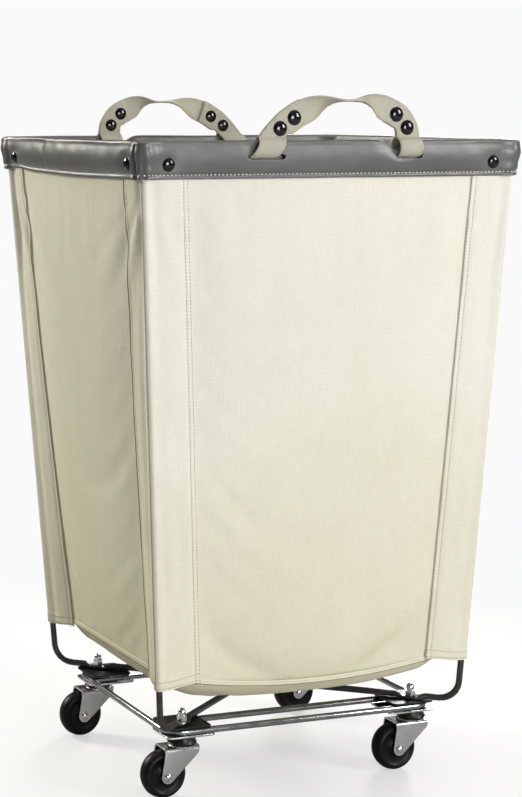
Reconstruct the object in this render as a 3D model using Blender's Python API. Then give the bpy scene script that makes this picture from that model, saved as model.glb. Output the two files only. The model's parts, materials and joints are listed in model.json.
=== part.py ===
"""Rolling linen trolley: a tapered canvas bag held open by two crossed steel rods on a welded
base frame, with four swivel casters, a vinyl rim band and two strap handles.

Metres, +Z up, floor at z = 0, the long front side faces -Y.  Run in Blender 4.5.
"""
import math

import bpy
import bmesh
from mathutils import Matrix, Vector

# ---- driving dimensions -------------------------------------------------------------------
RIM_HALF = (0.2300, 0.1905)        # outside of the rim band at its top: half width, half depth
RIM_Z = 0.7050                     # top of the rim band
FOOT_HALF = (0.1910, 0.1460)       # outside of the corner sleeves at their lower ends
SLEEVE_END_Z = 0.1250
GAP = 0.0003                       # clearance kept between neighbouring pieces

CLOTH = 0.0012                     # canvas thickness
VINYL = 0.0014                     # rim band thickness
BAND_DROP = 0.0405                 # height of the band's outer leg
BAND_INNER_DROP = 0.0360
PANEL_CORNER_R = 0.0240            # the canvas body turns its corners on this radius
SLEEVE_CORNER_R = 0.0050
LEVELS = (0.1500, 0.2000, 0.2900, 0.4300)   # heights where the canvas outline is set out
SLEEVE_WIDTH = (0.0540, 0.0480)    # strip width on the front or back face, and on a side face
SIDE_PULL = 0.0145                 # how far the side and front panels are drawn in at the bottom
FRONT_PULL = 0.0030
BELLY_Z = 0.1010                   # lowest point of the sagging bottom panel
SEAM_Z = 0.1345                    # bottom seam at the corners
FRONT_SEAM_DIP = 0.0170            # how much lower the seam hangs mid front and mid back

ROD_R = 0.0035
ROD_BEND_R = 0.0220
ROD_Z = 0.0796                     # centre of the crossed rods where they run over the base
ROD_TOP_Z = 0.6950
CROSSING_LIFT = 0.0078             # rod B is joggled up over rod A
JOGGLE = 0.0480                    # half length of that joggle
EYE_REACH = 0.0160                 # half length of a flattened eye with its run-outs
FLAT_HALF = (0.0064, 0.00155)      # flattened eye of a rod: half width, half thickness
FLAT_Z = 0.07765

STEM_XY = (0.1425, 0.1075)         # caster stems
FRAME_HALF = (0.1630, 0.1180)      # centreline of the base frame's ring
FRAME_CORNER_R = 0.0220
FRAME_Z = 0.0700
RAIL_Y = 0.0820                    # the two inner rails
TOP_PLATE = ((0.1130, 0.1640), (0.0770, 0.1220), (0.0738, 0.0758))   # x, y and z ranges
LOW_PLATE = ((0.1080, 0.1650), (0.0780, 0.1210), (0.0642, 0.0662))

WHEEL_R = 0.0254
WHEEL_WIDTH = 0.0180
TRAIL = 0.0230                     # the wheel's axle trails the swivel axis by this much
FORK_HALF = 0.0134                 # outside half width of the fork
FORK_T = 0.0018
FORK_TOP_Z = 0.0544
FORK_BEND_R = 0.0034
FORK_END_R = 0.0073                # round end of each fork arm about the axle
FORK_NOSE_R = 0.0095               # plan radius of the fork's leading corners
FORK_TAIL_X = -0.0255              # trailing edge of the fork's top
FORK_NOSE_X = 0.0180               # leading edge of the fork's top
RACE_R = 0.0150
STEM_R = 0.0030
KINGPIN_R = 0.0040
BORE_R = 0.0033                    # stem holes through the plates and rod eyes
AXLE_R = 0.0030
AXLE_BORE_R = 0.0031               # running fit of the wheel on its axle
AXLE_HEAD = (0.0046, 0.0023)       # radius and height of the axle's heads
HUB_R = (0.0085, 0.0096)           # the wheel's hub: face and foot radius
HUB_PROUD = 0.0015                 # how far the hub stands out of the wheel's web
KING_HEAD_R = 0.0064
KING_HEAD_Z = (0.0482, 0.0520)
CONE_R = (0.0160, 0.0136)          # upper raceway: bottom and top radius
CONE_Z = (0.0569, 0.0624, 0.0639)  # its bottom, the end of its slope, its top
STEM_TOP_Z = 0.0893
NUT_Z = 0.0795
NUT_HALF_FLAT = 0.0052             # half the acorn nut's width across its flats
NUT_HEX_H = 0.0058
NUT_DOME_R = 0.0044
NUT_DOME_Z = 0.0086                # centre of the dome over the nut's seat
NUT_BORE = (0.0101, 0.0108)        # depth of the nut's bore at its wall and its middle

PIVOT_Z = 0.6970                   # the handles turn about this line inside the rim
STRAP_W = 0.0280
STRAP_T = 0.0024
STRAP_X = (-0.0875, 0.0893)        # left and right loop of a handle, seen from outside
LOOP_R = 0.0100                    # centreline radius of the strap's loop round the rim
LOOP_LEAN = (0.55, 0.0)            # how far each loop leans sideways for its height
LOOP_OPEN = 36                     # each loop is open at the top by this angle either side
SLOT_X = ((-0.1056, -0.0618), (0.0735, 0.1055))
SLOT_Z = (0.6848, 0.6900)
ARCH_FOOT = 0.0108                 # the arch starts this far over the pivot
HANDLE_ARCH = (                    # (x, height over the pivot) of the strap's middle line
    (STRAP_X[0] + LOOP_LEAN[0] * (ARCH_FOOT + LOOP_R), ARCH_FOOT),
    (-0.0702, 0.0175), (-0.0620, 0.0238), (-0.0528, 0.0298), (-0.0407, 0.0368),
    (-0.0211, 0.0434), (-0.0015, 0.0482), (0.0182, 0.0500), (0.0411, 0.0475),
    (0.0620, 0.0412), (0.0780, 0.0333), (0.0866, 0.0240), (0.0890, 0.0165),
    (STRAP_X[1], ARCH_FOOT),
)
DOUBLED = (0.0490, 0.0420)         # length of the doubled strap at the left and right end
TWIST_START = 0.0060               # the twist starts this far inside the left doubled length
TWIST_LENGTH = (0.0560, 0.0400)    # each quarter turn of the strap is spread over this length
SQUARED_BY = 0.0260                # by this far up the arch the strap lies square to its run
HANDLE_RIVETS = (0.0130, 0.0335, 0.0300, 0.0102)   # two from the left end, two from the right
LAYER_Y = STRAP_T / 2 + GAP * 0.8  # middle of each layer from the handle's plane
RIM_RIVET = (0.1975, 0.1550)       # rivet places along the front or back, and along a side
RIM_RIVET_Z = 0.6800
RIVET_HOLE_R = 0.0024

STEPS_ROUND = 12                   # facets round a rod
STEPS_WHEEL = 32

CORNERS = {"fl": (-1, -1), "fr": (1, -1), "br": (1, 1), "bl": (-1, 1)}

COLOURS = {                        # base colour, roughness, metallic
    "canvas": ((0.74, 0.70, 0.58), 0.90, 0.0),
    "vinyl": ((0.17, 0.17, 0.18), 0.45, 0.0),
    "rod_paint": ((0.07, 0.07, 0.08), 0.40, 0.6),
    "bright_steel": ((0.62, 0.63, 0.65), 0.28, 1.0),
    "black_plate": ((0.03, 0.03, 0.035), 0.45, 0.7),
    "zinc": ((0.66, 0.67, 0.68), 0.35, 1.0),
    "rubber": ((0.012, 0.012, 0.013), 0.55, 0.0),
    "rivet": ((0.04, 0.04, 0.045), 0.30, 0.8),
}


# ---- scene helpers ------------------------------------------------------------------------
def clear_scene():
    for obj in list(bpy.data.objects):
        bpy.data.objects.remove(obj, do_unlink=True)


def material(name):
    found = bpy.data.materials.get(name)
    if found:
        return found
    colour, roughness, metallic = COLOURS[name]
    made = bpy.data.materials.new(name)
    made.use_nodes = True
    shader = made.node_tree.nodes["Principled BSDF"]
    shader.inputs["Base Color"].default_value = (*colour, 1.0)
    shader.inputs["Roughness"].default_value = roughness
    shader.inputs["Metallic"].default_value = metallic
    return made


def mesh_from(name, verts, faces):
    """A mesh whose faces point out."""
    mesh = bpy.data.meshes.new(name)
    mesh.from_pydata([tuple(v) for v in verts], [], faces)
    bm = bmesh.new()
    bm.from_mesh(mesh)
    bmesh.ops.recalc_face_normals(bm, faces=bm.faces)
    bm.to_mesh(mesh)
    bm.free()
    mesh.shade_smooth()
    mesh.set_sharp_from_angle(angle=math.radians(35))
    return mesh


def add(name, mesh, paint, parent=None, place=(0, 0, 0)):
    obj = bpy.data.objects.new(name, mesh)
    bpy.context.scene.collection.objects.link(obj)
    if paint:
        if not mesh.materials:
            mesh.materials.append(material(paint))
    obj.parent = parent
    obj.location = place
    return obj


def empty(name, place, parent=None):
    obj = bpy.data.objects.new(name, None)
    bpy.context.scene.collection.objects.link(obj)
    obj.parent = parent
    obj.location = place
    return obj


def cutter(name, mesh):
    obj = add(name, mesh, None)
    obj.hide_render = True
    obj.display_type = "WIRE"
    return obj


def boolean(obj, other, operation):
    made = obj.modifiers.new(operation.lower(), "BOOLEAN")
    made.operation = operation
    made.solver = "EXACT"
    made.object = other
    return obj


def baked(obj, helpers=()):
    """The object's mesh with its modifiers worked in; the object and its helpers go away."""
    graph = bpy.context.evaluated_depsgraph_get()
    graph.update()
    mesh = bpy.data.meshes.new_from_object(obj.evaluated_get(graph))
    mesh.name = obj.name
    for used in (obj, *helpers):
        bpy.data.objects.remove(used, do_unlink=True)
    return mesh


# ---- shape helpers ------------------------------------------------------------------------
def arc(centre, radius, start, end, steps):
    """Points on an arc in the plane, angles in degrees, both ends included."""
    return [
        (centre[0] + radius * math.cos(math.radians(start + (end - start) * i / steps)),
         centre[1] + radius * math.sin(math.radians(start + (end - start) * i / steps)))
        for i in range(steps + 1)
    ]


def smooth(t):
    t = min(1.0, max(0.0, t))
    return t * t * (3 - 2 * t)


def prism(outline, low, high, axis="z"):
    """A closed outline pushed along an axis from low to high."""
    def put(a, b, c):
        return {"z": (a, b, c), "y": (a, c, b), "x": (c, a, b)}[axis]

    count = len(outline)
    verts = [put(a, b, low) for a, b in outline] + [put(a, b, high) for a, b in outline]
    faces = [tuple(range(count)), tuple(range(count, 2 * count))]
    faces += [(i, (i + 1) % count, count + (i + 1) % count, count + i) for i in range(count)]
    return verts, faces


def turned(profile, steps, phase=0.0):
    """A profile of (radius, height) turned about Z; a radius of 0 closes it on the axis."""
    verts, rows = [], []
    for radius, height in profile:
        if radius == 0:
            rows.append([len(verts)])
            verts.append((0, 0, height))
            continue
        rows.append(list(range(len(verts), len(verts) + steps)))
        for i in range(steps):
            angle = 2 * math.pi * (i + phase) / steps
            verts.append((radius * math.cos(angle), radius * math.sin(angle), height))
    closed = profile[0][0] > 0
    pairs = list(zip(rows, rows[1:]))
    if closed:
        pairs.append((rows[-1], rows[0]))
    faces = []
    for low, high in pairs:
        for i in range(steps):
            j = (i + 1) % steps
            if len(low) == 1:
                faces.append((low[0], high[i], high[j]))
            elif len(high) == 1:
                faces.append((low[i], low[j], high[0]))
            else:
                faces.append((low[i], low[j], high[j], high[i]))
    return verts, faces


def swept(rings, closed=False):
    """Rings of equal count joined one after the other, with flat ends unless closed."""
    count = len(rings[0])
    verts = [v for ring in rings for v in ring]
    faces = []
    total = len(rings)
    for r in range(total if closed else total - 1):
        a, b = r * count, ((r + 1) % total) * count
        faces += [(a + i, a + (i + 1) % count, b + (i + 1) % count, b + i)
                  for i in range(count)]
    if not closed:
        faces.append(tuple(range(count)))
        faces.append(tuple(range((total - 1) * count, total * count)))
    return verts, faces


def slab(outer, inner):
    """A thin sheet between two grids of points of the same size."""
    rows, cols = len(outer), len(outer[0])
    verts = [p for row in outer for p in row] + [p for row in inner for p in row]
    shift = rows * cols
    faces = []
    for r in range(rows - 1):
        for c in range(cols - 1):
            a = r * cols + c
            faces.append((a, a + 1, a + cols + 1, a + cols))
            faces.append((a + shift, a + cols + shift, a + cols + 1 + shift, a + 1 + shift))
    edge = [(0, c) for c in range(cols)] + [(r, cols - 1) for r in range(1, rows)]
    edge += [(rows - 1, c) for c in range(cols - 2, -1, -1)] + [(r, 0) for r in range(rows - 2, 0, -1)]
    ring = [r * cols + c for r, c in edge]
    for a, b in zip(ring, ring[1:] + ring[:1]):
        faces.append((a, b, b + shift, a + shift))
    return verts, faces


def offset_line(points, distance):
    """An open line in the plane moved sideways to its left by a distance."""
    moved = []
    for i, p in enumerate(points):
        before = points[max(i - 1, 0)]
        after = points[min(i + 1, len(points) - 1)]
        normals = []
        for a, b in ((before, p), (p, after)):
            dx, dy = b[0] - a[0], b[1] - a[1]
            length = math.hypot(dx, dy)
            if length > 0:
                normals.append((-dy / length, dx / length))
        nx = sum(n[0] for n in normals) / len(normals)
        ny = sum(n[1] for n in normals) / len(normals)
        square = nx * nx + ny * ny
        moved.append((p[0] + distance * nx / square, p[1] + distance * ny / square))
    return moved


# ---- the bag's body -----------------------------------------------------------------------
def cloth_half(z):
    """Outside half width and half depth of the corner sleeves at a height."""
    t = (RIM_Z - z) / (RIM_Z - SLEEVE_END_Z)
    top = [h - VINYL - GAP for h in RIM_HALF]
    return tuple(a + (b - a) * t for a, b in zip(top, FOOT_HALF))


def drawn_in(z):
    """How far the side panels and the front and back panels are pulled in at a height."""
    t = max(0.0, (RIM_Z - z) / (RIM_Z - SLEEVE_END_Z)) ** 1.6
    return SIDE_PULL * t, FRONT_PULL * t


def seam_z(across, half, is_front):
    """Height of the bottom seam along a panel: level on the sides, dipping front and back."""
    if not is_front:
        return SEAM_Z
    share = min(1.0, abs(across) / half)
    return SEAM_Z - FRONT_SEAM_DIP * (1 - share * share)


def panel_line(z, is_front, inset):
    """Plan line of one panel, facing -Y, from the middle of one corner to the next."""
    half_x, half_y = cloth_half(z)
    pull_x, pull_y = drawn_in(z)
    wide, deep = half_x - pull_x - inset, half_y - pull_y - inset
    if not is_front:
        wide, deep = deep, wide
    radius = PANEL_CORNER_R - inset
    parting = math.degrees(0.6 * GAP / radius)
    left = arc((radius - wide, radius - deep), radius, 225 + parting, 270, 2)
    right = arc((wide - radius, radius - deep), radius, 270, 315 - parting, 2)
    flat = wide - radius
    middle = [(flat * (2 * i / 4 - 1), -deep) for i in range(1, 4)]
    return left + middle + right


def panel_mesh(name, is_front, turn):
    """One of the four upright canvas panels."""
    top = RIM_Z - VINYL - 2.5 * GAP
    sheet_in = CLOTH + 1.5 * GAP
    grids = []
    for inset in (sheet_in, sheet_in + CLOTH):
        low_line = panel_line(SEAM_Z, is_front, inset)
        half = low_line[-1][0]
        grid = []
        for level in (None, *LEVELS, top):
            row = []
            for i, (x, _) in enumerate(low_line):
                z = level or seam_z(x, half, is_front)
                px, py = panel_line(z, is_front, inset)[i]
                row.append(Matrix.Rotation(turn, 4, "Z") @ Vector((px, py, z)))
            grid.append(row)
        grids.append(grid)
    return mesh_from(name, *slab(*grids))


def bottom_line(inset):
    """Plan outline of the bottom panel with the seam height at each point."""
    points = []
    for turn in range(4):
        is_front = turn % 2 == 0
        line = panel_line(SEAM_Z, is_front, inset)
        half = line[-1][0]
        for x, y in line:
            z = seam_z(x, half, is_front)
            points.append(Matrix.Rotation(turn * math.pi / 2, 4, "Z") @ Vector((x, y, z)))
    return points


def bottom_panel():
    """The sewn-in bottom, sagging into a belly."""
    shares = (1, 0.975, 0.93, 0.84, 0.6)   # rings from the seam towards the middle
    seam_drop = 0.0010
    sheet_in = CLOTH + 1.5 * GAP
    verts, rings = [], []
    for side, inset in enumerate((sheet_in, sheet_in + CLOTH)):
        outline = bottom_line(inset)
        for share in shares:
            ring = []
            for p in outline:
                hang = share ** 11
                z = BELLY_Z + (p.z - seam_drop - BELLY_Z) * hang
                z += side * CLOTH * (1 - share ** 9)
                ring.append(len(verts))
                verts.append((p.x * share, p.y * share, z))
            rings.append(ring)
        rings.append([len(verts)])
        verts.append((0, 0, BELLY_Z + side * CLOTH))
    count = len(rings[0])
    order = rings[: len(shares) + 1][::-1] + rings[len(shares) + 1:]
    faces = []
    for low, high in zip(order, order[1:]):
        for i in range(count):
            j = (i + 1) % count
            if len(low) == 1:
                faces.append((low[0], high[i], high[j]))
            elif len(high) == 1:
                faces.append((low[i], low[j], high[0]))
            else:
                faces.append((low[i], low[j], high[j], high[i]))
    return mesh_from("bottom_panel", verts, faces)


def sleeve_line(z):
    """Plan line of the strip that wraps the front-right corner, from front edge to side edge."""
    half_x, half_y = cloth_half(z)
    pull_x, pull_y = drawn_in(z)
    r = SLEEVE_CORNER_R
    corner = arc((half_x - r, r - half_y), r, 270, 360, 4)
    front = (half_x - SLEEVE_WIDTH[0], pull_y - half_y)
    side = (half_x - pull_x, SLEEVE_WIDTH[1] - half_y)
    front_mid = tuple((a + b) / 2 for a, b in zip(front, corner[0]))
    side_mid = tuple((a + b) / 2 for a, b in zip(side, corner[-1]))
    return [front, front_mid] + corner + [side_mid, side]


def sleeve_mesh(name, sx, sy):
    """A canvas strip sewn over a corner so that it makes the pocket for the rod."""
    top = RIM_Z - VINYL - 2.5 * GAP
    outer, inner = [], []
    for z in (SLEEVE_END_Z, *LEVELS, top):
        line = sleeve_line(z)
        outer.append([(sx * x, -sy * y, z) for x, y in line])
        inner.append([(sx * x, -sy * y, z) for x, y in offset_line(line, CLOTH)])
    return mesh_from(name, *slab(outer, inner))


# ---- rim band, rivets and the holes through them ------------------------------------------
def plan_loop(half_x, half_y, radius):
    loop = []
    for k, (sx, sy) in enumerate(((1, -1), (1, 1), (-1, 1), (-1, -1))):
        centre = (sx * (half_x - radius), sy * (half_y - radius))
        loop += arc(centre, radius, 270 + 90 * k, 360 + 90 * k, 4)
    return loop


def rim_band():
    """A vinyl strip folded over the rim: outer leg, rounded top, inner leg."""
    stack_in = 2 * CLOTH + 3.5 * GAP
    outer_r = SLEEVE_CORNER_R + GAP
    inner_r = PANEL_CORNER_R - stack_in

    def outer(z, out):
        half_x, half_y = cloth_half(z)
        return [(x, y, z) for x, y in plan_loop(half_x + out, half_y + out, outer_r + out)]

    def inner(z, deeper):
        half_x, half_y = cloth_half(z)
        pull_x, pull_y = drawn_in(z)
        loop = plan_loop(half_x - pull_x - stack_in - deeper,
                         half_y - pull_y - stack_in - deeper, inner_r - deeper)
        return [(x, y, z) for x, y in loop]

    low, low_in = RIM_Z - BAND_DROP, RIM_Z - BAND_INNER_DROP
    shoulder = RIM_Z - 0.0020
    under = RIM_Z - VINYL
    loops = [
        outer(low, GAP), outer(low, GAP + VINYL), outer(shoulder, GAP + VINYL),
        [(x, y, RIM_Z) for x, y, _ in outer(RIM_Z, GAP + VINYL - 0.0012)],
        [(x, y, RIM_Z) for x, y, _ in inner(RIM_Z, VINYL - 0.0012)],
        inner(shoulder, VINYL), inner(low_in, VINYL), inner(low_in, 0.0),
        inner(under, 0.0), outer(under, GAP),
    ]
    return mesh_from("rim_band", *swept(loops, closed=True))


def face_place(along, z, side):
    """A point on the band's outer face, the face's lean, and its turn about the vertical."""
    axis = 1 if side in ("front", "back") else 0
    turn = {"front": 0, "right": 1, "back": 2, "left": 3}[side] * math.pi / 2
    deep = cloth_half(z)[axis] + GAP + VINYL
    rise = RIM_Z - SLEEVE_END_Z
    lean = math.atan((cloth_half(RIM_Z)[axis] - cloth_half(SLEEVE_END_Z)[axis]) / rise)
    return Matrix.Rotation(turn, 4, "Z") @ Vector((along, -deep, z)), lean, turn


def rim_rivets():
    """(name, side, place along the face) of the eight rivets."""
    for side in ("front", "right", "back", "left"):
        reach = RIM_RIVET[0] if side in ("front", "back") else RIM_RIVET[1]
        for hand, along in (("left", -reach), ("right", reach)):
            yield f"rim_rivet_{side}_{hand}", side, along


def stack_depth():
    """Thickness of the band with all that is inside it."""
    return 2 * VINYL + 2 * CLOTH + 4.5 * GAP


def rivet_mesh(name, depth, head_r, head_h, back_r, back_h):
    """A rivet along -Y: dome head outside, shank, and a flat set head inside."""
    rest = 0.6 * GAP
    shank_r = RIVET_HOLE_R - GAP
    profile = [(0, -depth - rest - back_h), (back_r * 0.75, -depth - rest - back_h * 0.7),
               (back_r, -depth - rest), (shank_r, -depth - rest), (shank_r, rest)]
    profile += [(head_r * math.cos(a), rest + head_h * math.sin(a))
                for a in (math.radians(d) for d in (0, 30, 60))]
    profile += [(0, rest + head_h)]
    verts, faces = turned(profile, 12)
    return mesh_from(name, [(x, -h, y) for x, y, h in verts], faces)


def hole_cutter():
    """All the rivet holes and handle slots through the rim, as one tool."""
    verts, faces = [], []

    def take(v, f, place):
        base = len(verts)
        verts.extend([place @ Vector(p) for p in v])
        faces.extend([tuple(i + base for i in face) for face in f])

    ring = arc((0, 0), RIVET_HOLE_R / math.cos(math.pi / 8), 0, 315, 7)
    for _, side, along in rim_rivets():
        spot, lean, turn = face_place(along, RIM_RIVET_Z, side)
        place = Matrix.Translation(spot) @ Matrix.Rotation(turn, 4, "Z")
        place = place @ Matrix.Rotation(lean, 4, "X")
        take(*prism(ring, -0.004, stack_depth() + 0.006, "y"), place)
    for side in ("front", "back"):
        spot, _, turn = face_place(0.0, PIVOT_Z, side)
        place = Matrix.Translation(spot) @ Matrix.Rotation(turn, 4, "Z")
        for x0, x1 in SLOT_X:
            z0, z1 = (z - PIVOT_Z for z in SLOT_Z)
            box = [(x0, z0), (x1, z0), (x1, z1), (x0, z1)]
            take(*prism(box, -0.004, stack_depth() + 0.006, "y"), place)
    return cutter("rim_holes", mesh_from("rim_holes", verts, faces))


def build_bag():
    holes = hole_cutter()
    pieces = [boolean(add("rim_band", rim_band(), "vinyl"), holes, "DIFFERENCE")]
    for turn, name in enumerate(("front", "right", "back", "left")):
        mesh = panel_mesh(f"{name}_panel", turn % 2 == 0, turn * math.pi / 2)
        pieces.append(boolean(add(f"{name}_panel", mesh, "canvas"), holes, "DIFFERENCE"))
    for name, (sx, sy) in CORNERS.items():
        mesh = sleeve_mesh(f"corner_sleeve_{name}", sx, sy)
        pieces.append(boolean(add(f"corner_sleeve_{name}", mesh, "canvas"), holes, "DIFFERENCE"))
    pieces.append(add("bottom_panel", bottom_panel(), "canvas"))
    rivet = rivet_mesh("rim_rivet", stack_depth(), 0.0078, 0.0032, 0.0048, 0.0012)
    for name, side, along in rim_rivets():
        spot, lean, turn = face_place(along, RIM_RIVET_Z, side)
        obj = add(name, rivet, "rivet", place=spot)
        obj.rotation_euler = (lean, 0, turn)
    return pieces


# ---- crossed rods -------------------------------------------------------------------------
def fillet(before, corner, after, radius, steps):
    """Points of a round bend that replaces the corner between two straight runs."""
    u = (before - corner).normalized()
    w = (after - corner).normalized()
    half = u.angle(w) / 2
    centre = corner + (u + w).normalized() * (radius / math.sin(half))
    reach = radius / math.tan(half)
    a, b = corner + u * reach - centre, corner + w * reach - centre
    turn = a.angle(b)
    return [centre + (a * math.sin(turn * (1 - i / steps)) + b * math.sin(turn * i / steps))
            / math.sin(turn) for i in range(steps + 1)]


def rod_leg(sx, sy):
    """Centreline of one leg, from its top down round its bend on to the diagonal."""
    def inside(z):
        half_x, half_y = cloth_half(z)
        r = SLEEVE_CORNER_R
        return Vector((sx * (half_x - r), sy * (half_y - r), z))

    top, low = inside(ROD_TOP_Z), inside(SLEEVE_END_Z)
    slope = (low - top) / (low.z - top.z)
    corner = low + slope * (ROD_Z - low.z)
    stem = Vector((sx * STEM_XY[0], sy * STEM_XY[1], ROD_Z))
    return [top] + fillet(top, corner, stem, ROD_BEND_R, 6)


def rod_run(sx, sy, lifted):
    """Centreline over the base from just inside one stem's bend to the opposite one."""
    stem = Vector((sx * STEM_XY[0], sy * STEM_XY[1], 0))
    unit, reach = stem.normalized(), stem.length
    stations = [reach + EYE_REACH * d for d in (1, 0.75, 0.5, -0.5, -0.75, -1)]
    stations += [JOGGLE * d for d in (1, 0.75, 0.5, 0.25)] if lifted else []
    stations.append(0.0)
    half = [(d, unit) for d in stations]
    line = half + [(-d, unit) for d, _ in reversed(half[:-1])]
    points = []
    for d, direction in line:
        z = ROD_Z
        if lifted:
            z += CROSSING_LIFT * smooth(1 - abs(d) / JOGGLE)
        flat = smooth((EYE_REACH - abs(abs(d) - reach)) / (EYE_REACH / 2))
        z += (FLAT_Z - ROD_Z) * flat
        points.append((direction * d + Vector((0, 0, z)), flat))
    return points


def cross_rod(name, start, lifted):
    """One rod: leg, bend, flattened eye, crossing, flattened eye, bend, leg."""
    sx, sy = start
    first = [(p, 0.0) for p in rod_leg(sx, sy)]
    last = [(p, 0.0) for p in reversed(rod_leg(-sx, -sy))]
    line = first + rod_run(sx, sy, lifted) + last
    side = Vector((-sx * STEM_XY[0], -sy * STEM_XY[1], 0)).cross(Vector((0, 0, 1))).normalized()
    rings = []
    for i, (p, flat) in enumerate(line):
        a = line[max(i - 1, 0)][0]
        b = line[min(i + 1, len(line) - 1)][0]
        rings.append(rod_section(p, (b - a).normalized(), side, flat))
    rod = add(name, mesh_from(name, *swept(rings)), "rod_paint")
    for k, (hx, hy) in enumerate(((sx, sy), (-sx, -sy))):
        hole = arc((hx * STEM_XY[0], hy * STEM_XY[1]), BORE_R, 0, 330, 11)
        eye = prism(hole, FLAT_Z - 0.01, FLAT_Z + 0.01)
        boolean(rod, cutter(f"{name}_eye_{k}", mesh_from("eye", *eye)), "DIFFERENCE")


def rod_section(centre, ahead, side, flat):
    """Section of a rod: round, or pressed wide and thin where it is an eye."""
    across = (side - ahead * side.dot(ahead)).normalized()
    up = across.cross(ahead).normalized()
    wide = ROD_R + (FLAT_HALF[0] - ROD_R) * flat
    thin = ROD_R + (FLAT_HALF[1] - ROD_R) * flat
    power = 1 - 0.5 * flat
    ring = []
    for i in range(STEPS_ROUND):
        angle = 2 * math.pi * (i + 0.5) / STEPS_ROUND
        c, s = math.cos(angle), math.sin(angle)
        ring.append(centre + across * math.copysign(wide * abs(c) ** power, c)
                    + up * math.copysign(thin * abs(s) ** power, s))
    return ring


# ---- base frame and plates ----------------------------------------------------------------
def base_frame():
    """A ring of bright rod with two inner rails welded across it."""
    plan = []
    half_x, half_y = FRAME_HALF
    for k, (sx, sy) in enumerate(((1, -1), (1, 1), (-1, 1), (-1, -1))):
        centre = (sx * (half_x - FRAME_CORNER_R), sy * (half_y - FRAME_CORNER_R))
        plan += arc(centre, FRAME_CORNER_R, 270 + 90 * k, 360 + 90 * k, 5)
    rings = []
    for i, p in enumerate(plan):
        a, b = plan[i - 1], plan[(i + 1) % len(plan)]
        ahead = Vector((b[0] - a[0], b[1] - a[1], 0)).normalized()
        side = Vector((ahead.y, -ahead.x, 0))
        ring = []
        for j in range(STEPS_ROUND):
            angle = 2 * math.pi * (j + 0.5) / STEPS_ROUND
            ring.append(Vector((p[0], p[1], FRAME_Z)) + side * ROD_R * math.cos(angle)
                        + Vector((0, 0, ROD_R * math.sin(angle))))
        rings.append(ring)
    ring_obj = add("base_ring", mesh_from("base_ring", *swept(rings, closed=True)), "bright_steel")
    rails = []
    for k, sy in enumerate((-1, 1)):
        section = [(sy * RAIL_Y + y, FRAME_Z + z) for y, z in
                   arc((0, 0), ROD_R * 0.97, 15, 345, STEPS_ROUND - 1)]
        rail = add(f"rail_{k}", mesh_from("rail", *prism(section, -half_x, half_x, "x")),
                   "bright_steel")
        boolean(ring_obj, rail, "UNION")
        rails.append(rail)
    return add("base_frame", baked(ring_obj, rails), "bright_steel")


def plate(name, ranges, sx, sy, paint):
    """A flat plate with rounded corners and a hole for the caster's stem."""
    (x0, x1), (y0, y1), (z0, z1) = ranges
    r = 0.005
    outline = []
    for k, (cx, cy) in enumerate(((x1 - r, y0 + r), (x1 - r, y1 - r), (x0 + r, y1 - r),
                                  (x0 + r, y0 + r))):
        outline += arc((cx, cy), r, 270 + 90 * k, 360 + 90 * k, 2)
    solid = add(f"{name}_blank", mesh_from(name, *prism(outline, z0, z1)), paint)
    hole = arc(STEM_XY, BORE_R, 0, 330, 11)
    tool = cutter(f"{name}_tool", mesh_from("tool", *prism(hole, z0 - 0.002, z1 + 0.002)))
    boolean(solid, tool, "DIFFERENCE")
    mesh = baked(solid, (tool,))
    mesh.transform(Matrix.Diagonal((sx, sy, 1, 1)))
    if sx * sy < 0:
        mesh.flip_normals()
    return add(name, mesh, paint)


# ---- casters ------------------------------------------------------------------------------
def stem_mesh():
    """Kingpin head, shank, upper raceway cone and threaded stem in one turned piece."""
    head, cone = KING_HEAD_Z, CONE_Z
    profile = [(0, head[0]), (KING_HEAD_R - 0.0004, head[0] + 0.0006), (KING_HEAD_R, head[1]),
               (KINGPIN_R, head[1]), (KINGPIN_R, cone[0]), (CONE_R[0] - 0.0004, cone[0]),
               (CONE_R[0], cone[0] + 0.0011), (CONE_R[1], cone[1]), (CONE_R[1], cone[2]),
               (STEM_R, cone[2]), (STEM_R, STEM_TOP_Z - 0.0003), (0, STEM_TOP_Z)]
    return mesh_from("swivel_stem", *turned(profile, 16))


def nut_mesh():
    """Acorn nut: hexagon, neck and dome, bored from below."""
    across, dome_r = NUT_HALF_FLAT / math.cos(math.radians(30)), NUT_DOME_R
    hexagon = arc((0, 0), across, 0, 300, 5)
    body = add("nut_hex", mesh_from("nut_hex", *prism(hexagon, NUT_Z, NUT_Z + NUT_HEX_H)),
               "bright_steel")
    base, top = NUT_Z + NUT_HEX_H - 0.0008, NUT_Z + NUT_DOME_Z
    dome = [(0, base), (dome_r, base), (dome_r * 0.92, top - 0.0012)]
    dome += [(dome_r * math.cos(math.radians(a)), top + 0.0050 * math.sin(math.radians(a)))
             for a in (0, 30, 60)] + [(0, top + 0.0050)]
    cap = add("nut_cap", mesh_from("nut_cap", *turned(dome, 12)), "bright_steel")
    bore = [(0, NUT_Z - 0.002), (BORE_R, NUT_Z - 0.002), (BORE_R, NUT_Z + NUT_BORE[0]),
            (0, NUT_Z + NUT_BORE[1])]
    tool = cutter("nut_bore", mesh_from("nut_bore", *turned(bore, 10)))
    boolean(body, cap, "UNION")
    boolean(body, tool, "DIFFERENCE")
    return baked(body, (cap, tool))


def fork_side_outline():
    """The fork seen from its side: steep trailing edge, round end, long raked front edge."""
    end = arc((-TRAIL, WHEEL_R), FORK_END_R, 178, 312, 6)
    shoulder = FORK_TOP_Z - 0.0014
    return ([(FORK_TAIL_X, FORK_TOP_Z + 0.002), (FORK_TAIL_X, shoulder)] + end
            + [(FORK_NOSE_X - 0.0020, shoulder - 0.0025), (FORK_NOSE_X, shoulder),
               (FORK_NOSE_X, FORK_TOP_Z + 0.002)])


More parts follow.
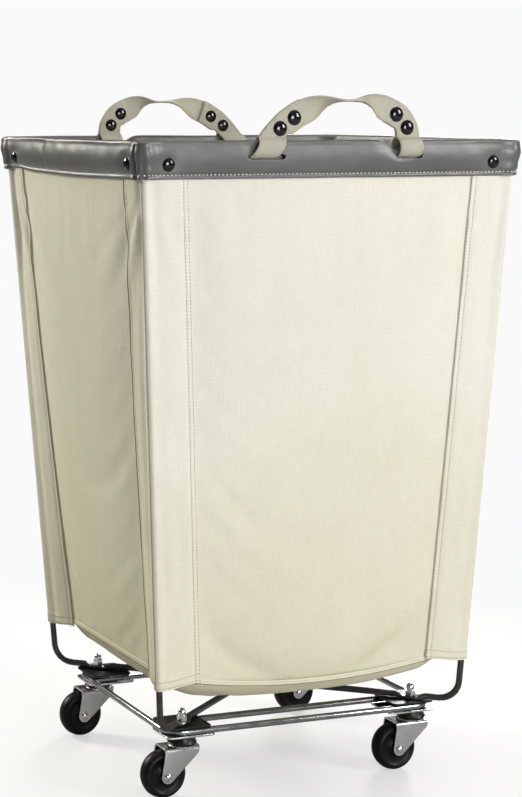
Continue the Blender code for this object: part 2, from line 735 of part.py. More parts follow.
def fork_mesh():
    """Pressed fork: a channel cut to the side outline, with the lower raceway on top."""
    t, half, bend = FORK_T, FORK_HALF, FORK_BEND_R
    bottom = WHEEL_R - 0.0100
    outer = arc((half - bend, FORK_TOP_Z - bend), bend, 0, 90, 3)
    inner = arc((half - bend, FORK_TOP_Z - bend), bend - t, 90, 0, 3)
    right = [(half, bottom)] + outer
    left = [(-y, z) for y, z in reversed(right)]
    inner_left = [(-y, z) for y, z in reversed(inner)]
    channel = right + left + [(-(half - t), bottom)] + inner_left + inner + [(half - t, bottom)]
    body = add("fork_body", mesh_from("fork", *prism(channel, -0.040, 0.030, "x")), "zinc")
    side = cutter("fork_side", mesh_from("side", *prism(fork_side_outline(), -0.03, 0.03, "y")))
    wide, front_r, front_x = 0.0150, FORK_NOSE_R, FORK_NOSE_X - 0.0010 - FORK_NOSE_R
    plan = ([(-0.045, -wide)] + arc((front_x, front_r - wide), front_r, 270, 360, 4)
            + arc((front_x, wide - front_r), front_r, 0, 90, 4) + [(-0.045, wide)])
    nose = cutter("fork_plan", mesh_from("plan", *prism(plan, 0.0, 0.1)))
    race_low = FORK_TOP_Z - 0.0006
    race = add("fork_race", mesh_from("race", *turned(
        [(0, race_low), (RACE_R, race_low), (RACE_R, FORK_TOP_Z + 0.0008),
         (RACE_R - 0.0014, FORK_TOP_Z + 0.0020), (0, FORK_TOP_Z + 0.0020)], 16)), "zinc")
    king = cutter("fork_king", mesh_from("king", *prism(
        arc((0, 0), KINGPIN_R + 0.0002, 0, 330, 11), 0.045, 0.065)))
    axle = cutter("fork_axle", mesh_from("axle", *prism(
        arc((-TRAIL, WHEEL_R), BORE_R, 0, 324, 9), -0.03, 0.03, "y")))
    boolean(body, side, "INTERSECT")
    boolean(body, nose, "INTERSECT")
    boolean(body, race, "UNION")
    boolean(body, king, "DIFFERENCE")
    boolean(body, axle, "DIFFERENCE")
    return baked(body, (side, nose, race, king, axle))


def wheel_mesh():
    """Solid rubber wheel with its axis along Y and a flat of its tread straight down."""
    grow = 1 / math.cos(math.pi / STEPS_WHEEL)
    half = WHEEL_WIDTH / 2
    rim = WHEEL_R * grow
    web = half - HUB_PROUD
    side = [(AXLE_BORE_R, half), (HUB_R[0], half), (HUB_R[1], web),
            (rim - 0.0066, web), (rim - 0.0045, half - 0.0002),
            (rim - 0.0012, half - 0.0026), (rim, half - 0.0058)]
    profile = side + [(r, -h) for r, h in reversed(side)]
    verts, faces = turned(profile, STEPS_WHEEL, phase=0.5)
    return mesh_from("wheel", [(y, h, x) for x, y, h in verts], faces)


def axle_mesh():
    """Riveted axle along Y with a domed head at each end."""
    reach = FORK_HALF + 0.6 * GAP
    head_r, head_h = AXLE_HEAD
    half = [(AXLE_R, reach), (head_r, reach), (head_r - 0.0010, reach + 0.7 * head_h)]
    profile = [(0, -reach - head_h)] + [(r, -h) for r, h in reversed(half)] + half
    profile += [(0, reach + head_h)]
    verts, faces = turned(profile, 12)
    return mesh_from("axle_rivet", [(x, h, y) for x, y, h in verts], faces)


def build_casters():
    stem, nut, fork = stem_mesh(), nut_mesh(), fork_mesh()
    wheel, axle = wheel_mesh(), axle_mesh()
    for name, (sx, sy) in CORNERS.items():
        place = Vector((sx * STEM_XY[0], sy * STEM_XY[1], 0))
        add(f"swivel_stem_{name}", stem, "black_plate", place=place)
        add(f"acorn_nut_{name}", nut, "bright_steel", place=place)
        swivel = empty(f"swivel_axis_{name}", place)
        add(f"caster_fork_{name}", fork, "zinc", swivel)
        spin = empty(f"axle_axis_{name}", (-TRAIL, 0, WHEEL_R), swivel)
        add(f"axle_rivet_{name}", axle, "bright_steel", spin)
        add(f"wheel_{name}", wheel, "rubber", spin)


# ---- strap handles ------------------------------------------------------------------------
def spline(points, per_span):
    """A smooth line through the points."""
    line = []
    ends = [points[0]] + list(points) + [points[-1]]
    for a, b, c, d in zip(ends, ends[1:], ends[2:], ends[3:]):
        for k in range(per_span):
            t = k / per_span
            line.append(tuple(
                0.5 * (2 * q + (r - p) * t + (2 * p - 5 * q + 4 * r - s) * t * t
                       + (3 * q - p - 3 * r + s) * t ** 3)
                for p, q, r, s in zip(a, b, c, d)))
    line.append(points[-1])
    return line


def arch_line():
    """(point, unit tangent, distance from the left end) along the arch, in its own plane."""
    flat = spline(HANDLE_ARCH, 2)
    run, line = 0.0, []
    for i, p in enumerate(flat):
        if i:
            run += math.dist(p, flat[i - 1])
        a, b = flat[max(i - 1, 0)], flat[min(i + 1, len(flat) - 1)]
        span = math.dist(a, b)
        line.append((p, ((b[0] - a[0]) / span, (b[1] - a[1]) / span), run))
    first, last = line[0], line[-1]
    for k, entry, way in ((0, first, 1), (-1, last, -1)):
        size = math.hypot(LOOP_LEAN[k], 1.0)
        line[k] = (entry[0], (way * LOOP_LEAN[k] / size, way / size), entry[2])
    return line


def loop_points(end):
    """The strap's way round the rim, from above on one side to above on the other."""
    lean = LOOP_LEAN[end]
    points = []
    steps = 9
    for k in range(steps + 1):
        a = math.radians(LOOP_OPEN + (360 - 2 * LOOP_OPEN) * k / steps)
        z = LOOP_R * math.cos(a)
        tangent = Vector((-lean * math.sin(a), -math.cos(a), -math.sin(a))).normalized()
        points.append((Vector((STRAP_X[end] + lean * (z + LOOP_R), -LOOP_R * math.sin(a), z)),
                       tangent))
    if end == 0:
        points = [(p, -t) for p, t in reversed(points)]
    return points


def strap_sections():
    """(centre, tangent, half-width vector over half the width) from the left inner end on.

    Round the rim the strap lies level across and leans; up the arch it turns square to its run.
    """
    line = arch_line()
    total = line[-1][2]
    level = [Vector((-math.hypot(1, lean), 0, 0)) for lean in LOOP_LEAN]
    sections = []

    def layer(entry, y, back):
        (x, z), (tx, tz), run = entry
        sign = -1 if back else 1
        end = 0 if run < total / 2 else 1
        square = smooth(min(run, total - run) / SQUARED_BY)
        wide = (level[end] * (1, -1)[end]).lerp(Vector((-tz, 0, tx)), square)
        return (Vector((x, y, z)), Vector((sign * tx, 0, sign * tz)), wide)

    inner_left = [e for e in line if e[2] <= DOUBLED[0]]
    sections += [layer(e, LAYER_Y, True) for e in reversed(inner_left)]
    sections += [(p, t, level[0]) for p, t in loop_points(0)]
    ends = (DOUBLED[0] - TWIST_START, total - DOUBLED[1])
    for entry in line:
        rising = smooth((entry[2] - ends[0]) / TWIST_LENGTH[0])
        falling = smooth((entry[2] - ends[1] + TWIST_LENGTH[1]) / TWIST_LENGTH[1])
        centre, ahead, flat = layer(entry, -LAYER_Y, False)
        turn = math.pi / 2 * (rising + falling)
        wide = flat * math.cos(turn) + Vector((0, -1, 0)) * math.sin(turn)
        sections.append((centre, ahead, wide))
    sections += [(p, t, level[1]) for p, t in loop_points(1)]
    inner_right = [e for e in line if e[2] >= total - DOUBLED[1]]
    sections += [layer(e, LAYER_Y, True) for e in reversed(inner_right)]
    return sections


def strap_mesh(rivet_spots):
    """One webbing strap, looped round the rim at both ends and doubled back on itself."""
    rings = []
    previous = None
    for centre, ahead, wide in strap_sections():
        if previous is not None and wide.dot(previous) < 0:
            wide = -wide
        previous = wide
        thick = ahead.cross(wide).normalized() * (STRAP_T / 2)
        side = wide * (STRAP_W / 2)
        rings.append([centre + side + thick, centre - side + thick,
                      centre - side - thick, centre + side - thick])
    strap = add("strap_blank", mesh_from("strap", *swept(rings)), "canvas")
    tools = []
    for k, (x, z) in enumerate(rivet_spots):
        ring = arc((x, z), RIVET_HOLE_R / math.cos(math.pi / 8), 0, 315, 7)
        tool = cutter(f"strap_tool_{k}", mesh_from("tool", *prism(ring, -0.006, 0.006, "y")))
        boolean(strap, tool, "DIFFERENCE")
        tools.append(tool)
    return baked(strap, tools)


def rivet_spots():
    """(x, z) of the two rivets in each doubled end, on the strap's middle line."""
    line = arch_line()
    total = line[-1][2]

    def at(run):
        for (p, _, a), (q, _, b) in zip(line, line[1:]):
            if a <= run <= b:
                t = (run - a) / (b - a)
                return (p[0] + (q[0] - p[0]) * t, p[1] + (q[1] - p[1]) * t)
        return line[-1][0]

    left, right = HANDLE_RIVETS[:2], HANDLE_RIVETS[2:]
    return [at(run) for run in left] + [at(total - run) for run in right]


def build_handles():
    spots = rivet_spots()
    strap = strap_mesh(spots)
    depth = 2 * (LAYER_Y + STRAP_T / 2)
    rivet = rivet_mesh("handle_rivet", depth, 0.0084, 0.0030, 0.0076, 0.0020)
    half_y = cloth_half(PIVOT_Z)[1] + GAP + VINYL
    pivot_y = half_y - stack_depth() / 2
    for name, sign in (("front", -1), ("back", 1)):
        axis = empty(f"handle_axis_{name}", (0, sign * pivot_y, PIVOT_Z))
        axis.rotation_euler = (0, 0, 0 if sign < 0 else math.pi)
        add(f"handle_strap_{name}", strap, "canvas", axis)
        for k, (x, z) in enumerate(spots):
            add(f"handle_rivet_{name}_{k + 1}", rivet, "rivet", axis, (x, -depth / 2, z))


def main():
    clear_scene()
    cross_rod("cross_rod_a", CORNERS["fr"], False)
    cross_rod("cross_rod_b", CORNERS["fl"], True)
    base_frame()
    for name, (sx, sy) in CORNERS.items():
        plate(f"top_plate_{name}", TOP_PLATE, sx, sy, "black_plate")
        plate(f"low_plate_{name}", LOW_PLATE, sx, sy, "zinc")
    build_casters()
    build_bag()
    build_handles()


main()
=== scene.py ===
import json
from math import atan2, copysign, cos, exp, hypot, pi, radians, sin

import bmesh
import bpy
import numpy as np
from mathutils import Matrix, Vector, noise


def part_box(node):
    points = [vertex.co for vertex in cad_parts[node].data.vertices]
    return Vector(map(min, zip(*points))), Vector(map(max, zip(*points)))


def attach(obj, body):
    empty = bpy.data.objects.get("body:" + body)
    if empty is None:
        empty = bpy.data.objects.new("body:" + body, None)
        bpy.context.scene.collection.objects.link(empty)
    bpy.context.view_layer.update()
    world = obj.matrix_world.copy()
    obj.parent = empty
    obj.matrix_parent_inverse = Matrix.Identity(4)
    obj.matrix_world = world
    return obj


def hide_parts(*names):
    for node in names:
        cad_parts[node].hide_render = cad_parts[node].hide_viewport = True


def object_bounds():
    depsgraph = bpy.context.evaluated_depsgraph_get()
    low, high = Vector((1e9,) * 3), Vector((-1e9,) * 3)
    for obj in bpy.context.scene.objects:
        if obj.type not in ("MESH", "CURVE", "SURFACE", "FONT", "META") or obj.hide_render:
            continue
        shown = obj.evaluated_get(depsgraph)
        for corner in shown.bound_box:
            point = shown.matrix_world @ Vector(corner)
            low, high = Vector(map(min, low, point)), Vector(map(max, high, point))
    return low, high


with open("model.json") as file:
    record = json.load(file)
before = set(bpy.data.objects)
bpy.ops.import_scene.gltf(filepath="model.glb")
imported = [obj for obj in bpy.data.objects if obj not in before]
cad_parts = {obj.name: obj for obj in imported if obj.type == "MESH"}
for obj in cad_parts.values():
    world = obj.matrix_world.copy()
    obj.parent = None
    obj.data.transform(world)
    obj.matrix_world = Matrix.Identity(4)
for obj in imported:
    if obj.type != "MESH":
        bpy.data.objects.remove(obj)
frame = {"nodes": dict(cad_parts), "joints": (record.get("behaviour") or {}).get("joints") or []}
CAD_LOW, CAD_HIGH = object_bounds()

# ---- sizes, in metres ----
CORNERS = {"fl": (-1, -1), "fr": (1, -1), "br": (1, 1), "bl": (-1, 1)}
BAG = "frame_and_bag"
CLOTH = 0.0012
VINYL = 0.0014
GAP = 0.0003  # clearance kept between layers
STACK = 2 * CLOTH + 3.5 * GAP  # what the rim's band is folded over
PANEL_CORNER_R = 0.024
SLEEVE_CORNER_R = 0.005
SLEEVE_WIDTH = (0.054, 0.048)  # of a corner strip on a long and on a short side
SIDE_PULL = 0.0145  # how far the short walls are drawn in at the bottom
FRONT_PULL = 0.003  # and the long ones
SEAM_Z = 0.1345  # the bottom seam at the corners
FRONT_SEAM_DIP = 0.017
WALL_DEPTH = 0.03  # a point this close to the outside is on a wall
FOLD_DEEP = (0.0009, 0.003)  # of the corner folds, on long and on short sides
BELLY_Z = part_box("bottom_panel")[0].z
BAND_LOW, RIM_Z = (end.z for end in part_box("rim_band"))
BAND_INNER_DROP = 0.036


def reach_at(node, top):
    """Largest |x| and |y| of a node at its top or at its foot, with the height."""
    co = np.array([v.co for v in frame["nodes"][node].data.vertices])
    z = co[:, 2].max() if top else co[:, 2].min()
    level = np.abs(co[np.abs(co[:, 2] - z) < 1e-4])
    return level[:, 0].max(), level[:, 1].max(), z


TOP_X, TOP_Y, TOP_LEVEL = reach_at("corner_sleeve_fr", True)
FOOT_X, FOOT_Y, FOOT_Z = reach_at("corner_sleeve_fr", False)
HIDDEN_TOP = BAND_LOW + 0.018  # the canvas ends here, inside the band


def cloth_half(z):
    """Outside half width and half depth of the corner sleeves at a height."""
    t = (TOP_LEVEL - z) / (TOP_LEVEL - FOOT_Z)
    return TOP_X + (FOOT_X - TOP_X) * t, TOP_Y + (FOOT_Y - TOP_Y) * t


def drawn_in(z):
    t = max(0.0, (RIM_Z - z) / (RIM_Z - FOOT_Z)) ** 1.6
    return SIDE_PULL * t, FRONT_PULL * t


def seam_height(across, turn):
    """Height of the bottom seam; across runs from -1 to 1 along a panel."""
    if turn % 2:
        return SEAM_Z
    return SEAM_Z - FRONT_SEAM_DIP * (1 - min(1.0, abs(across)) ** 2)


def pull_folds(across, down):
    """Depth, from 0 to 1, of the folds that fan out under a corner of the rim on one wall."""
    reach = hypot(across, down)
    turn = atan2(across, max(down, 1e-6))
    fan = 0.5 - 0.5 * cos(17.0 * turn - 0.6)
    spread = smooth(turn / 0.14) * (1 - smooth((turn - 0.8) / 0.35))
    return fan * spread * smooth(down / 0.045) * (1 - smooth((reach - 0.085) / 0.12))


# ---- small helpers ----
def smooth(t):
    t = min(1.0, max(0.0, t))
    return t * t * (3 - 2 * t)


def bump(x, centre, width):
    return exp(-((x - centre) / width) ** 2)


def wobble(x, y, z, scale, seed=0.0):
    return noise.noise(Vector((x * scale + seed, y * scale - seed, z * scale + 2 * seed)))


def unit(v):
    return v / np.linalg.norm(v, axis=-1, keepdims=True)


def turned_about_z(points, quarter):
    c, s = ((1, 0), (0, 1), (-1, 0), (0, -1))[quarter]
    out = np.array(points, float)
    x, y = out[..., 0].copy(), out[..., 1].copy()
    out[..., 0], out[..., 1] = c * x - s * y, s * x + c * y
    return out


def put(thing, **values):
    for key, value in values.items():
        setattr(thing, key, value)
    return thing


def modifier(obj, kind, **values):
    return put(obj.modifiers.new(kind.lower(), kind), **values)


def thicken(obj, thickness, offset=0.0):
    """Gives a sheet its thickness and rounds it off."""
    modifier(obj, "SOLIDIFY", thickness=thickness, offset=offset)
    modifier(obj, "SUBSURF", levels=1, render_levels=1)


def linked(name, data):
    obj = bpy.data.objects.new(name, data)
    bpy.context.scene.collection.objects.link(obj)
    return obj


def look_along(obj, place, ahead):
    """Puts a light or a camera at a place, looking along a direction."""
    put(obj, location=place, rotation_mode="QUATERNION",
        rotation_quaternion=ahead.to_track_quat("-Z", "Y"))


def new_object(name, mesh, finish, body=BAG):
    obj = linked(name, mesh)
    mesh.materials.append(finish)
    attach(obj, body)
    return obj


def mesh_of(name, verts, faces, uvs=None):
    mesh = bpy.data.meshes.new(name)
    mesh.from_pydata([tuple(v) for v in verts], [], [tuple(f) for f in faces])
    mesh.update()
    mesh.shade_smooth()
    if uvs is not None:
        layer = mesh.uv_layers.new(name="metres")
        layer.data.foreach_set("uv", np.asarray(uvs, np.float32).ravel())
    return mesh


def grid_mesh(name, points, across, up, wrap_cols=False, wrap_rows=False, flip=False):
    """Quads over a grid of points; across and up, its coordinates, go one further on a wrap."""
    uv = np.stack(np.meshgrid(across, up), 2)
    rows, cols = points.shape[:2]
    r = np.arange(rows if wrap_rows else rows - 1)
    c = np.arange(cols if wrap_cols else cols - 1)
    rr, cc = [a.ravel() for a in np.meshgrid(r, c, indexing="ij")]
    r2, c2 = (rr + 1) % rows, (cc + 1) % cols
    quads = np.stack([rr * cols + cc, rr * cols + c2, r2 * cols + c2, r2 * cols + cc], 1)
    corner = np.stack([uv[rr, cc], uv[rr, cc + 1], uv[rr + 1, cc + 1], uv[rr + 1, cc]], 1)
    if flip:
        quads, corner = quads[:, ::-1], corner[:, ::-1]
    return mesh_of(name, points.reshape(-1, 3), quads.tolist(), corner.reshape(-1, 2))


def run_lengths(line, closed=False):
    line = np.asarray(line, float)
    if closed:
        line = np.vstack([line, line[:1]])
    return np.concatenate([[0], np.cumsum(np.linalg.norm(np.diff(line, axis=0), axis=1))])


def edit_mesh(mesh, change):
    """Runs change(bmesh) on a mesh."""
    made = bmesh.new()
    made.from_mesh(mesh)
    change(made)
    made.to_mesh(mesh)
    made.free()


# ---- materials ----
class Nodes:
    """A node tree built up call by call."""

    def __init__(self, owner):
        owner.use_nodes = True
        self.tree = owner.node_tree

    def node(self, kind, values=(), **settings):
        made = put(self.tree.nodes.new("ShaderNode" + kind), **settings)
        for key, value in dict(values).items():
            self.plug(made.inputs[key], value)
        return made

    def plug(self, socket, value):
        if isinstance(value, bpy.types.Node):
            value = value.outputs[0]
        if isinstance(value, bpy.types.NodeSocket):
            self.tree.links.new(value, socket)
        else:
            socket.default_value = (*value, 1.0) if socket.type == "RGBA" else value

    def ramp(self, value, low, high, out_low=0.0, out_high=1.0):
        return self.node("MapRange", {"Value": value, "From Min": low, "From Max": high,
                                      "To Min": out_low, "To Max": out_high})


class Finish(Nodes):
    """A material; where is the place on the object, in metres."""

    def __init__(self, name):
        self.made = bpy.data.materials.new(name)
        super().__init__(self.made)
        self.shader = self.tree.nodes["Principled BSDF"]
        self.where = self.node("TexCoord").outputs["Object"]

    def math(self, how, a, b=0.0):
        return self.node("Math", {0: a, 1: b}, operation=how)

    def times(self, a, b):
        return self.math("MULTIPLY", a, b)

    def add(self, total, *more):
        for value in more:
            total = self.math("ADD", total, value)
        return total

    def noise(self, where, scale, detail=3.0, rough=0.55, stretch=None):
        if stretch:
            where = self.node("Mapping", {"Vector": where, "Scale": stretch})
        return self.node("TexNoise", {"Vector": where, "Scale": scale, "Detail": detail,
                                      "Roughness": rough})

    def mix(self, share, a, b, how="MIX"):
        made = self.node("Mix", data_type="RGBA", blend_type=how)
        for socket, value in ((0, share), (6, a), (7, b)):
            self.plug(made.inputs[socket], value)
        return made.outputs[2]

    def bumped(self, height, distance, strength=1.0, under=None):
        made = self.node("Bump", {"Height": height, "Distance": distance, "Strength": strength})
        if under is not None:
            self.plug(made.inputs["Normal"], under)
        return made

    def done(self, **inputs):
        for key, value in inputs.items():
            self.plug(self.shader.inputs[key.replace("_", " ")], value)
        return self.made


LOW_PAINTED_SHADE = (0.93, 0.915, 0.8)  # painted shade: the canvas is darkened and a little yellowed low down
PAINTED_SHADE_HEIGHTS = (0.46, 0.1)  # from where the painted shade starts down to where it is full
GRAZING_PAINTED_SHADE = (0.93, 0.905, 0.8)  # painted shade: darker and warmer where the canvas is seen along its surface


def canvas(name, light, dark, pitch=0.0013, fold_shade=0.5):
    """Plain-woven cotton duck: crossing threads, slubs, uneven dye and soft folds, with painted
    shade low down and where the cloth is seen along its surface.
    """
    f = Finish(name)
    uv = f.node("UVMap", uv_map="metres")
    split = f.node("SeparateXYZ", {0: uv}).outputs
    turn = 2 * pi / pitch
    weave = f.times(*[f.math("SINE", f.times(split[k], turn)) for k in (0, 1)])
    slubs = f.add(f.noise(uv, 1.0, 2.0, stretch=(900, 60, 1)),
                  f.noise(uv, 1.0, 2.0, stretch=(55, 900, 1)))
    fleck = f.noise(uv, 420.0, 4.0, 0.7)
    cloud = f.noise(f.where, 5.0, 4.0, 0.6)
    rumple = f.noise(f.where, 22.0, 5.0, 0.6, stretch=(1.0, 1.0, 0.35))
    tone = f.add(f.ramp(slubs, 0.7, 1.3, -0.3, 0.3), f.ramp(cloud, 0.3, 0.7, -0.25, 0.25),
                 f.times(weave, 0.1), f.ramp(fleck, 0.3, 0.7, -0.25, 0.25))
    colour = f.mix(f.ramp(tone, -0.9, 0.9), dark, light)
    # painted shade: darker and yellower towards the bottom, its upper edge jittered by the cloud
    height_at = f.node("SeparateXYZ", {0: f.where}).outputs[2]
    low = f.add(height_at, f.ramp(cloud, 0.3, 0.7, -0.08, 0.08))
    colour = f.mix(f.ramp(low, *PAINTED_SHADE_HEIGHTS), colour, LOW_PAINTED_SHADE, "MULTIPLY")
    # painted shade: darker and warmer where the surface is seen at a grazing angle
    along = f.node("LayerWeight", {"Blend": 0.5}).outputs["Facing"]
    colour = f.mix(f.ramp(along, 0.25, 0.55), colour, GRAZING_PAINTED_SHADE, "MULTIPLY")
    threads = f.bumped(f.add(f.times(weave, 0.35), slubs, fleck), 0.00022, 0.75)
    return f.done(Base_Color=colour, Roughness=f.ramp(slubs, 0.6, 1.4, 0.95, 0.8),
                  Normal=f.bumped(rumple, 0.003, fold_shade, threads), Sheen_Weight=0.25,
                  Sheen_Roughness=0.5, Specular_IOR_Level=0.25)


def vinyl():
    """Grey coated vinyl: fine grain, soft sheen, scuffed a little here and there."""
    f = Finish("rim_vinyl")
    uv = f.node("UVMap", uv_map="metres")
    pebble = f.node("TexVoronoi", {"Vector": uv, "Scale": 850.0, "Randomness": 1.0},
                    feature="SMOOTH_F1")
    pore = f.noise(uv, 2200.0, 2.0)
    cloud = f.noise(f.where, 9.0, 4.0)
    wrinkle = f.noise(f.where, 30.0, 3.0, 0.5, stretch=(1.0, 1.0, 0.8))
    scuff = f.ramp(f.noise(f.where, 130.0, 5.0, 0.75), 0.62, 0.8)
    colour = f.mix(f.ramp(cloud, 0.3, 0.7), (0.082, 0.084, 0.086), (0.112, 0.114, 0.116))
    colour = f.mix(f.times(scuff, 0.35), colour, (0.22, 0.22, 0.22))
    grain = f.bumped(f.add(pebble, f.times(pore, 0.3)), 0.00018, 0.55)
    return f.done(Base_Color=colour, Roughness=f.ramp(cloud, 0.3, 0.7, 0.33, 0.42),
                  Normal=f.bumped(wrinkle, 0.0014, 0.4, grain), Specular_IOR_Level=0.75)


def metal(name, bright, dull, rough, metallic, mottled, wear=None, peel=0.00003, coat=0.0):
    """Plated or painted metal, mottled, with worn patches where a wear colour is given."""
    f = Finish(name)
    cloud = f.noise(f.where, mottled, 4.0, 0.6)
    colour = f.mix(f.ramp(cloud, 0.3, 0.7), dull, bright)
    if wear:
        worn = f.times(f.ramp(f.noise(f.where, 160.0, 6.0, 0.75), 0.64, 0.72), 0.8)
        colour = f.mix(worn, colour, wear)
        metallic = f.math("MAXIMUM", worn, metallic)
    skin = f.bumped(f.noise(f.where, 2600.0, 2.0), peel, 0.8)
    return f.done(Base_Color=colour, Roughness=f.ramp(cloud, 0.25, 0.75, *rough),
                  Metallic=metallic, Normal=skin, Coat_Weight=coat, Coat_Roughness=0.12)


def rubber():
    """Black moulded rubber with a faint bloom."""
    f = Finish("wheel_rubber")
    cloud = f.noise(f.where, 70.0, 5.0, 0.65)
    colour = f.mix(f.ramp(cloud, 0.35, 0.75), (0.004, 0.004, 0.004), (0.01, 0.01, 0.01))
    skin = f.bumped(f.noise(f.where, 1500.0, 3.0), 0.00008, 0.6)
    return f.done(Base_Color=colour, Roughness=f.ramp(cloud, 0.3, 0.7, 0.3, 0.46), Normal=skin,
                  Specular_IOR_Level=0.18)


def thread(name, colour, dark):
    """Twisted sewing thread."""
    f = Finish(name)
    twist = f.node("TexWave", {"Vector": f.where, "Scale": 900.0, "Distortion": 3.0},
                   bands_direction="DIAGONAL").outputs["Fac"]
    return f.done(Base_Color=f.mix(twist, dark, colour), Roughness=0.7,
                  Normal=f.bumped(twist, 0.0001))


CANVAS = canvas("canvas_body", (0.86, 0.846, 0.76), (0.7, 0.684, 0.585))
STRIP = canvas("canvas_strip", (0.87, 0.859, 0.785), (0.72, 0.706, 0.615), fold_shade=0.35)
WEBBING = canvas("canvas_webbing", (0.54, 0.52, 0.445), (0.39, 0.372, 0.305), pitch=0.0016)
RIM = vinyl()
RODS = metal("rod_paint", (0.07, 0.07, 0.073), (0.04, 0.04, 0.043), (0.3, 0.42), 0.55,
             90.0, coat=0.25, peel=0.00006)
BRIGHT = metal("bright_steel", (0.46, 0.47, 0.48), (0.34, 0.35, 0.36), (0.15, 0.24), 1.0,
               60.0, peel=0.00001)
CHROME = metal("nut_chrome", (0.86, 0.87, 0.88), (0.74, 0.75, 0.77), (0.05, 0.12), 1.0, 80.0)
ZINC = metal("zinc_sheet", (0.76, 0.77, 0.77), (0.68, 0.69, 0.7), (0.2, 0.28), 1.0, 90.0,
             peel=0.000012)
BLACK = metal("black_plate", (0.02, 0.02, 0.021), (0.01, 0.01, 0.011), (0.28, 0.42),
              0.5, 200.0, wear=(0.3, 0.3, 0.31), peel=0.00006)
RIVET = metal("rivet_black", (0.03, 0.03, 0.032), (0.014, 0.014, 0.015), (0.1, 0.18),
              0.9, 300.0, coat=0.6)
RUBBER = rubber()
THREAD_PALE = thread("thread_pale", (0.92, 0.91, 0.88), (0.74, 0.73, 0.7))
THREAD_CREAM = thread("thread_cream", (0.62, 0.56, 0.42), (0.4, 0.35, 0.25))
# painted shadow: dark cords laid along the seams and the strips' corner crease, where there is
# only shade
SEAM_SHADOW_PAINT = thread("painted_shadow_cord", (0.3, 0.25, 0.16), (0.2, 0.165, 0.105))


# ---- stitches: sizes are (pitch, length, width, height) ----
STITCH_RINGS = ((-0.5, 0.25, -0.6), (-0.36, 0.85, 0.35), (0.0, 1.0, 0.75), (0.36, 0.85, 0.35),
                (0.5, 0.25, -0.6))  # shares of the length, of the width and of the height
STITCH_SIDES = 6


def stitch_row(samples, lift, sizes):
    """Verts and faces of thread stitches along (point, normal) samples, raised by a lift."""
    pitch, length, width, height = sizes
    path = np.array([p + n * lift for p, n in samples])
    normals = np.array([n for _, n in samples])
    run = run_lengths(path)
    count = int(run[-1] / pitch)
    middle = pitch * (np.arange(count) + 0.5)

    def sample(values, at):
        return np.stack([np.interp(at, run, values[:, k]) for k in range(3)], 1)

    ahead = unit(sample(path, middle + length / 2) - sample(path, middle - length / 2))
    up = sample(normals, middle)
    up = unit(up - ahead * (up * ahead).sum(1)[:, None])
    side = np.cross(up, ahead)
    n, last = STITCH_SIDES, len(STITCH_RINGS) - 1
    one = []
    for along, size, rise in STITCH_RINGS:
        for k in range(n):
            a = 2 * pi * k / n
            one.append((along * length, cos(a) * size * width / 2,
                        rise * height + sin(a) * size * height / 2))
    one = np.array(one)
    verts = sample(path, middle)[:, None, :]
    for k, way in enumerate((ahead, side, up)):
        verts = verts + one[None, :, k:k + 1] * way[:, None, :]
    quads = [(r * n + k, r * n + (k + 1) % n, (r + 1) * n + (k + 1) % n, (r + 1) * n + k)
             for r in range(last) for k in range(n)]
    quads += [tuple(range(n))[::-1], tuple(range(last * n, last * n + n))]
    faces = [tuple(i + s * len(one) for i in f) for s in range(count) for f in quads]
    return verts.reshape(-1, 3), faces


def cord(samples, half, lift, closed=False):
    """Verts and faces of a thin dark cord, which draws the shadow line of a seam."""
    path = [p + n * lift for p, n in samples]
    count = len(path)
    verts = []
    for k, (_, n) in enumerate(samples):
        before = path[k - 1] if closed or k else path[k]
        after = path[(k + 1) % count if closed else min(k + 1, count - 1)]
        side = np.cross(n, unit(after - before))
        verts += [path[k] + side * half, path[k] + n * half, path[k] - side * half,
                  path[k] - n * half]
    spans = count if closed else count - 1
    faces = [(k * 4 + i, k * 4 + (i + 1) % 4, (k + 1) % count * 4 + (i + 1) % 4,
              (k + 1) % count * 4 + i) for k in range(spans) for i in range(4)]
    return np.array(verts), faces


def sewing(name, rows, finish, body=BAG):
    """One object made of rows of stitches or of cords."""
    verts, faces, base = [], [], 0
    for v, f in rows:
        verts.append(v)
        faces += [tuple(i + base for i in face) for face in f]
        base += len(v)
    new_object(name, mesh_of(name, np.concatenate(verts), faces), finish, body)


# ---- the bag's shell ----
SHELL_COLS = (48, 38)  # steps along a long and along a short wall
SHELL_ROWS = 66
SETTLE_FRAMES = 22
SETTLE_CAP = 0.0055  # no point of the cloth moves further than this
CLOTH_RULES = {
    "quality": 6, "mass": 0.25, "tension_stiffness": 40, "compression_stiffness": 40,
    "shear_stiffness": 12, "bending_stiffness": 1.2, "air_damping": 4.0,
    "vertex_group_mass": "held", "pin_stiffness": 2.0, "shrink_min": -0.004,
}


def round_bag(steps):
    """(quarter, across) round the bag; across runs -1..1 between the middles of its corners."""
    return [(turn, -1 + 2 * i / steps[turn % 2]) for turn in range(4)
            for i in range(steps[turn % 2])]


def panel_point(turn, across, z, inset):
    """Point of one of the four panels, at a depth under the outside of the corner strips."""
    half_x, half_y = cloth_half(z)
    pull_x, pull_y = drawn_in(z)
    wide, deep = half_x - pull_x - inset, half_y - pull_y - inset
    if turn % 2:
        wide, deep = deep, wide
    r = PANEL_CORNER_R - inset
    eighth = r * pi / 4
    flat = wide - r
    d = abs(across) * (flat + eighth)
    if d <= flat:
        x, y = d, -deep
    else:
        a = (d - flat) / r
        x, y = flat + r * sin(a), r - deep - r * cos(a)
    return turned_about_z((copysign(x, across), y, z), turn)


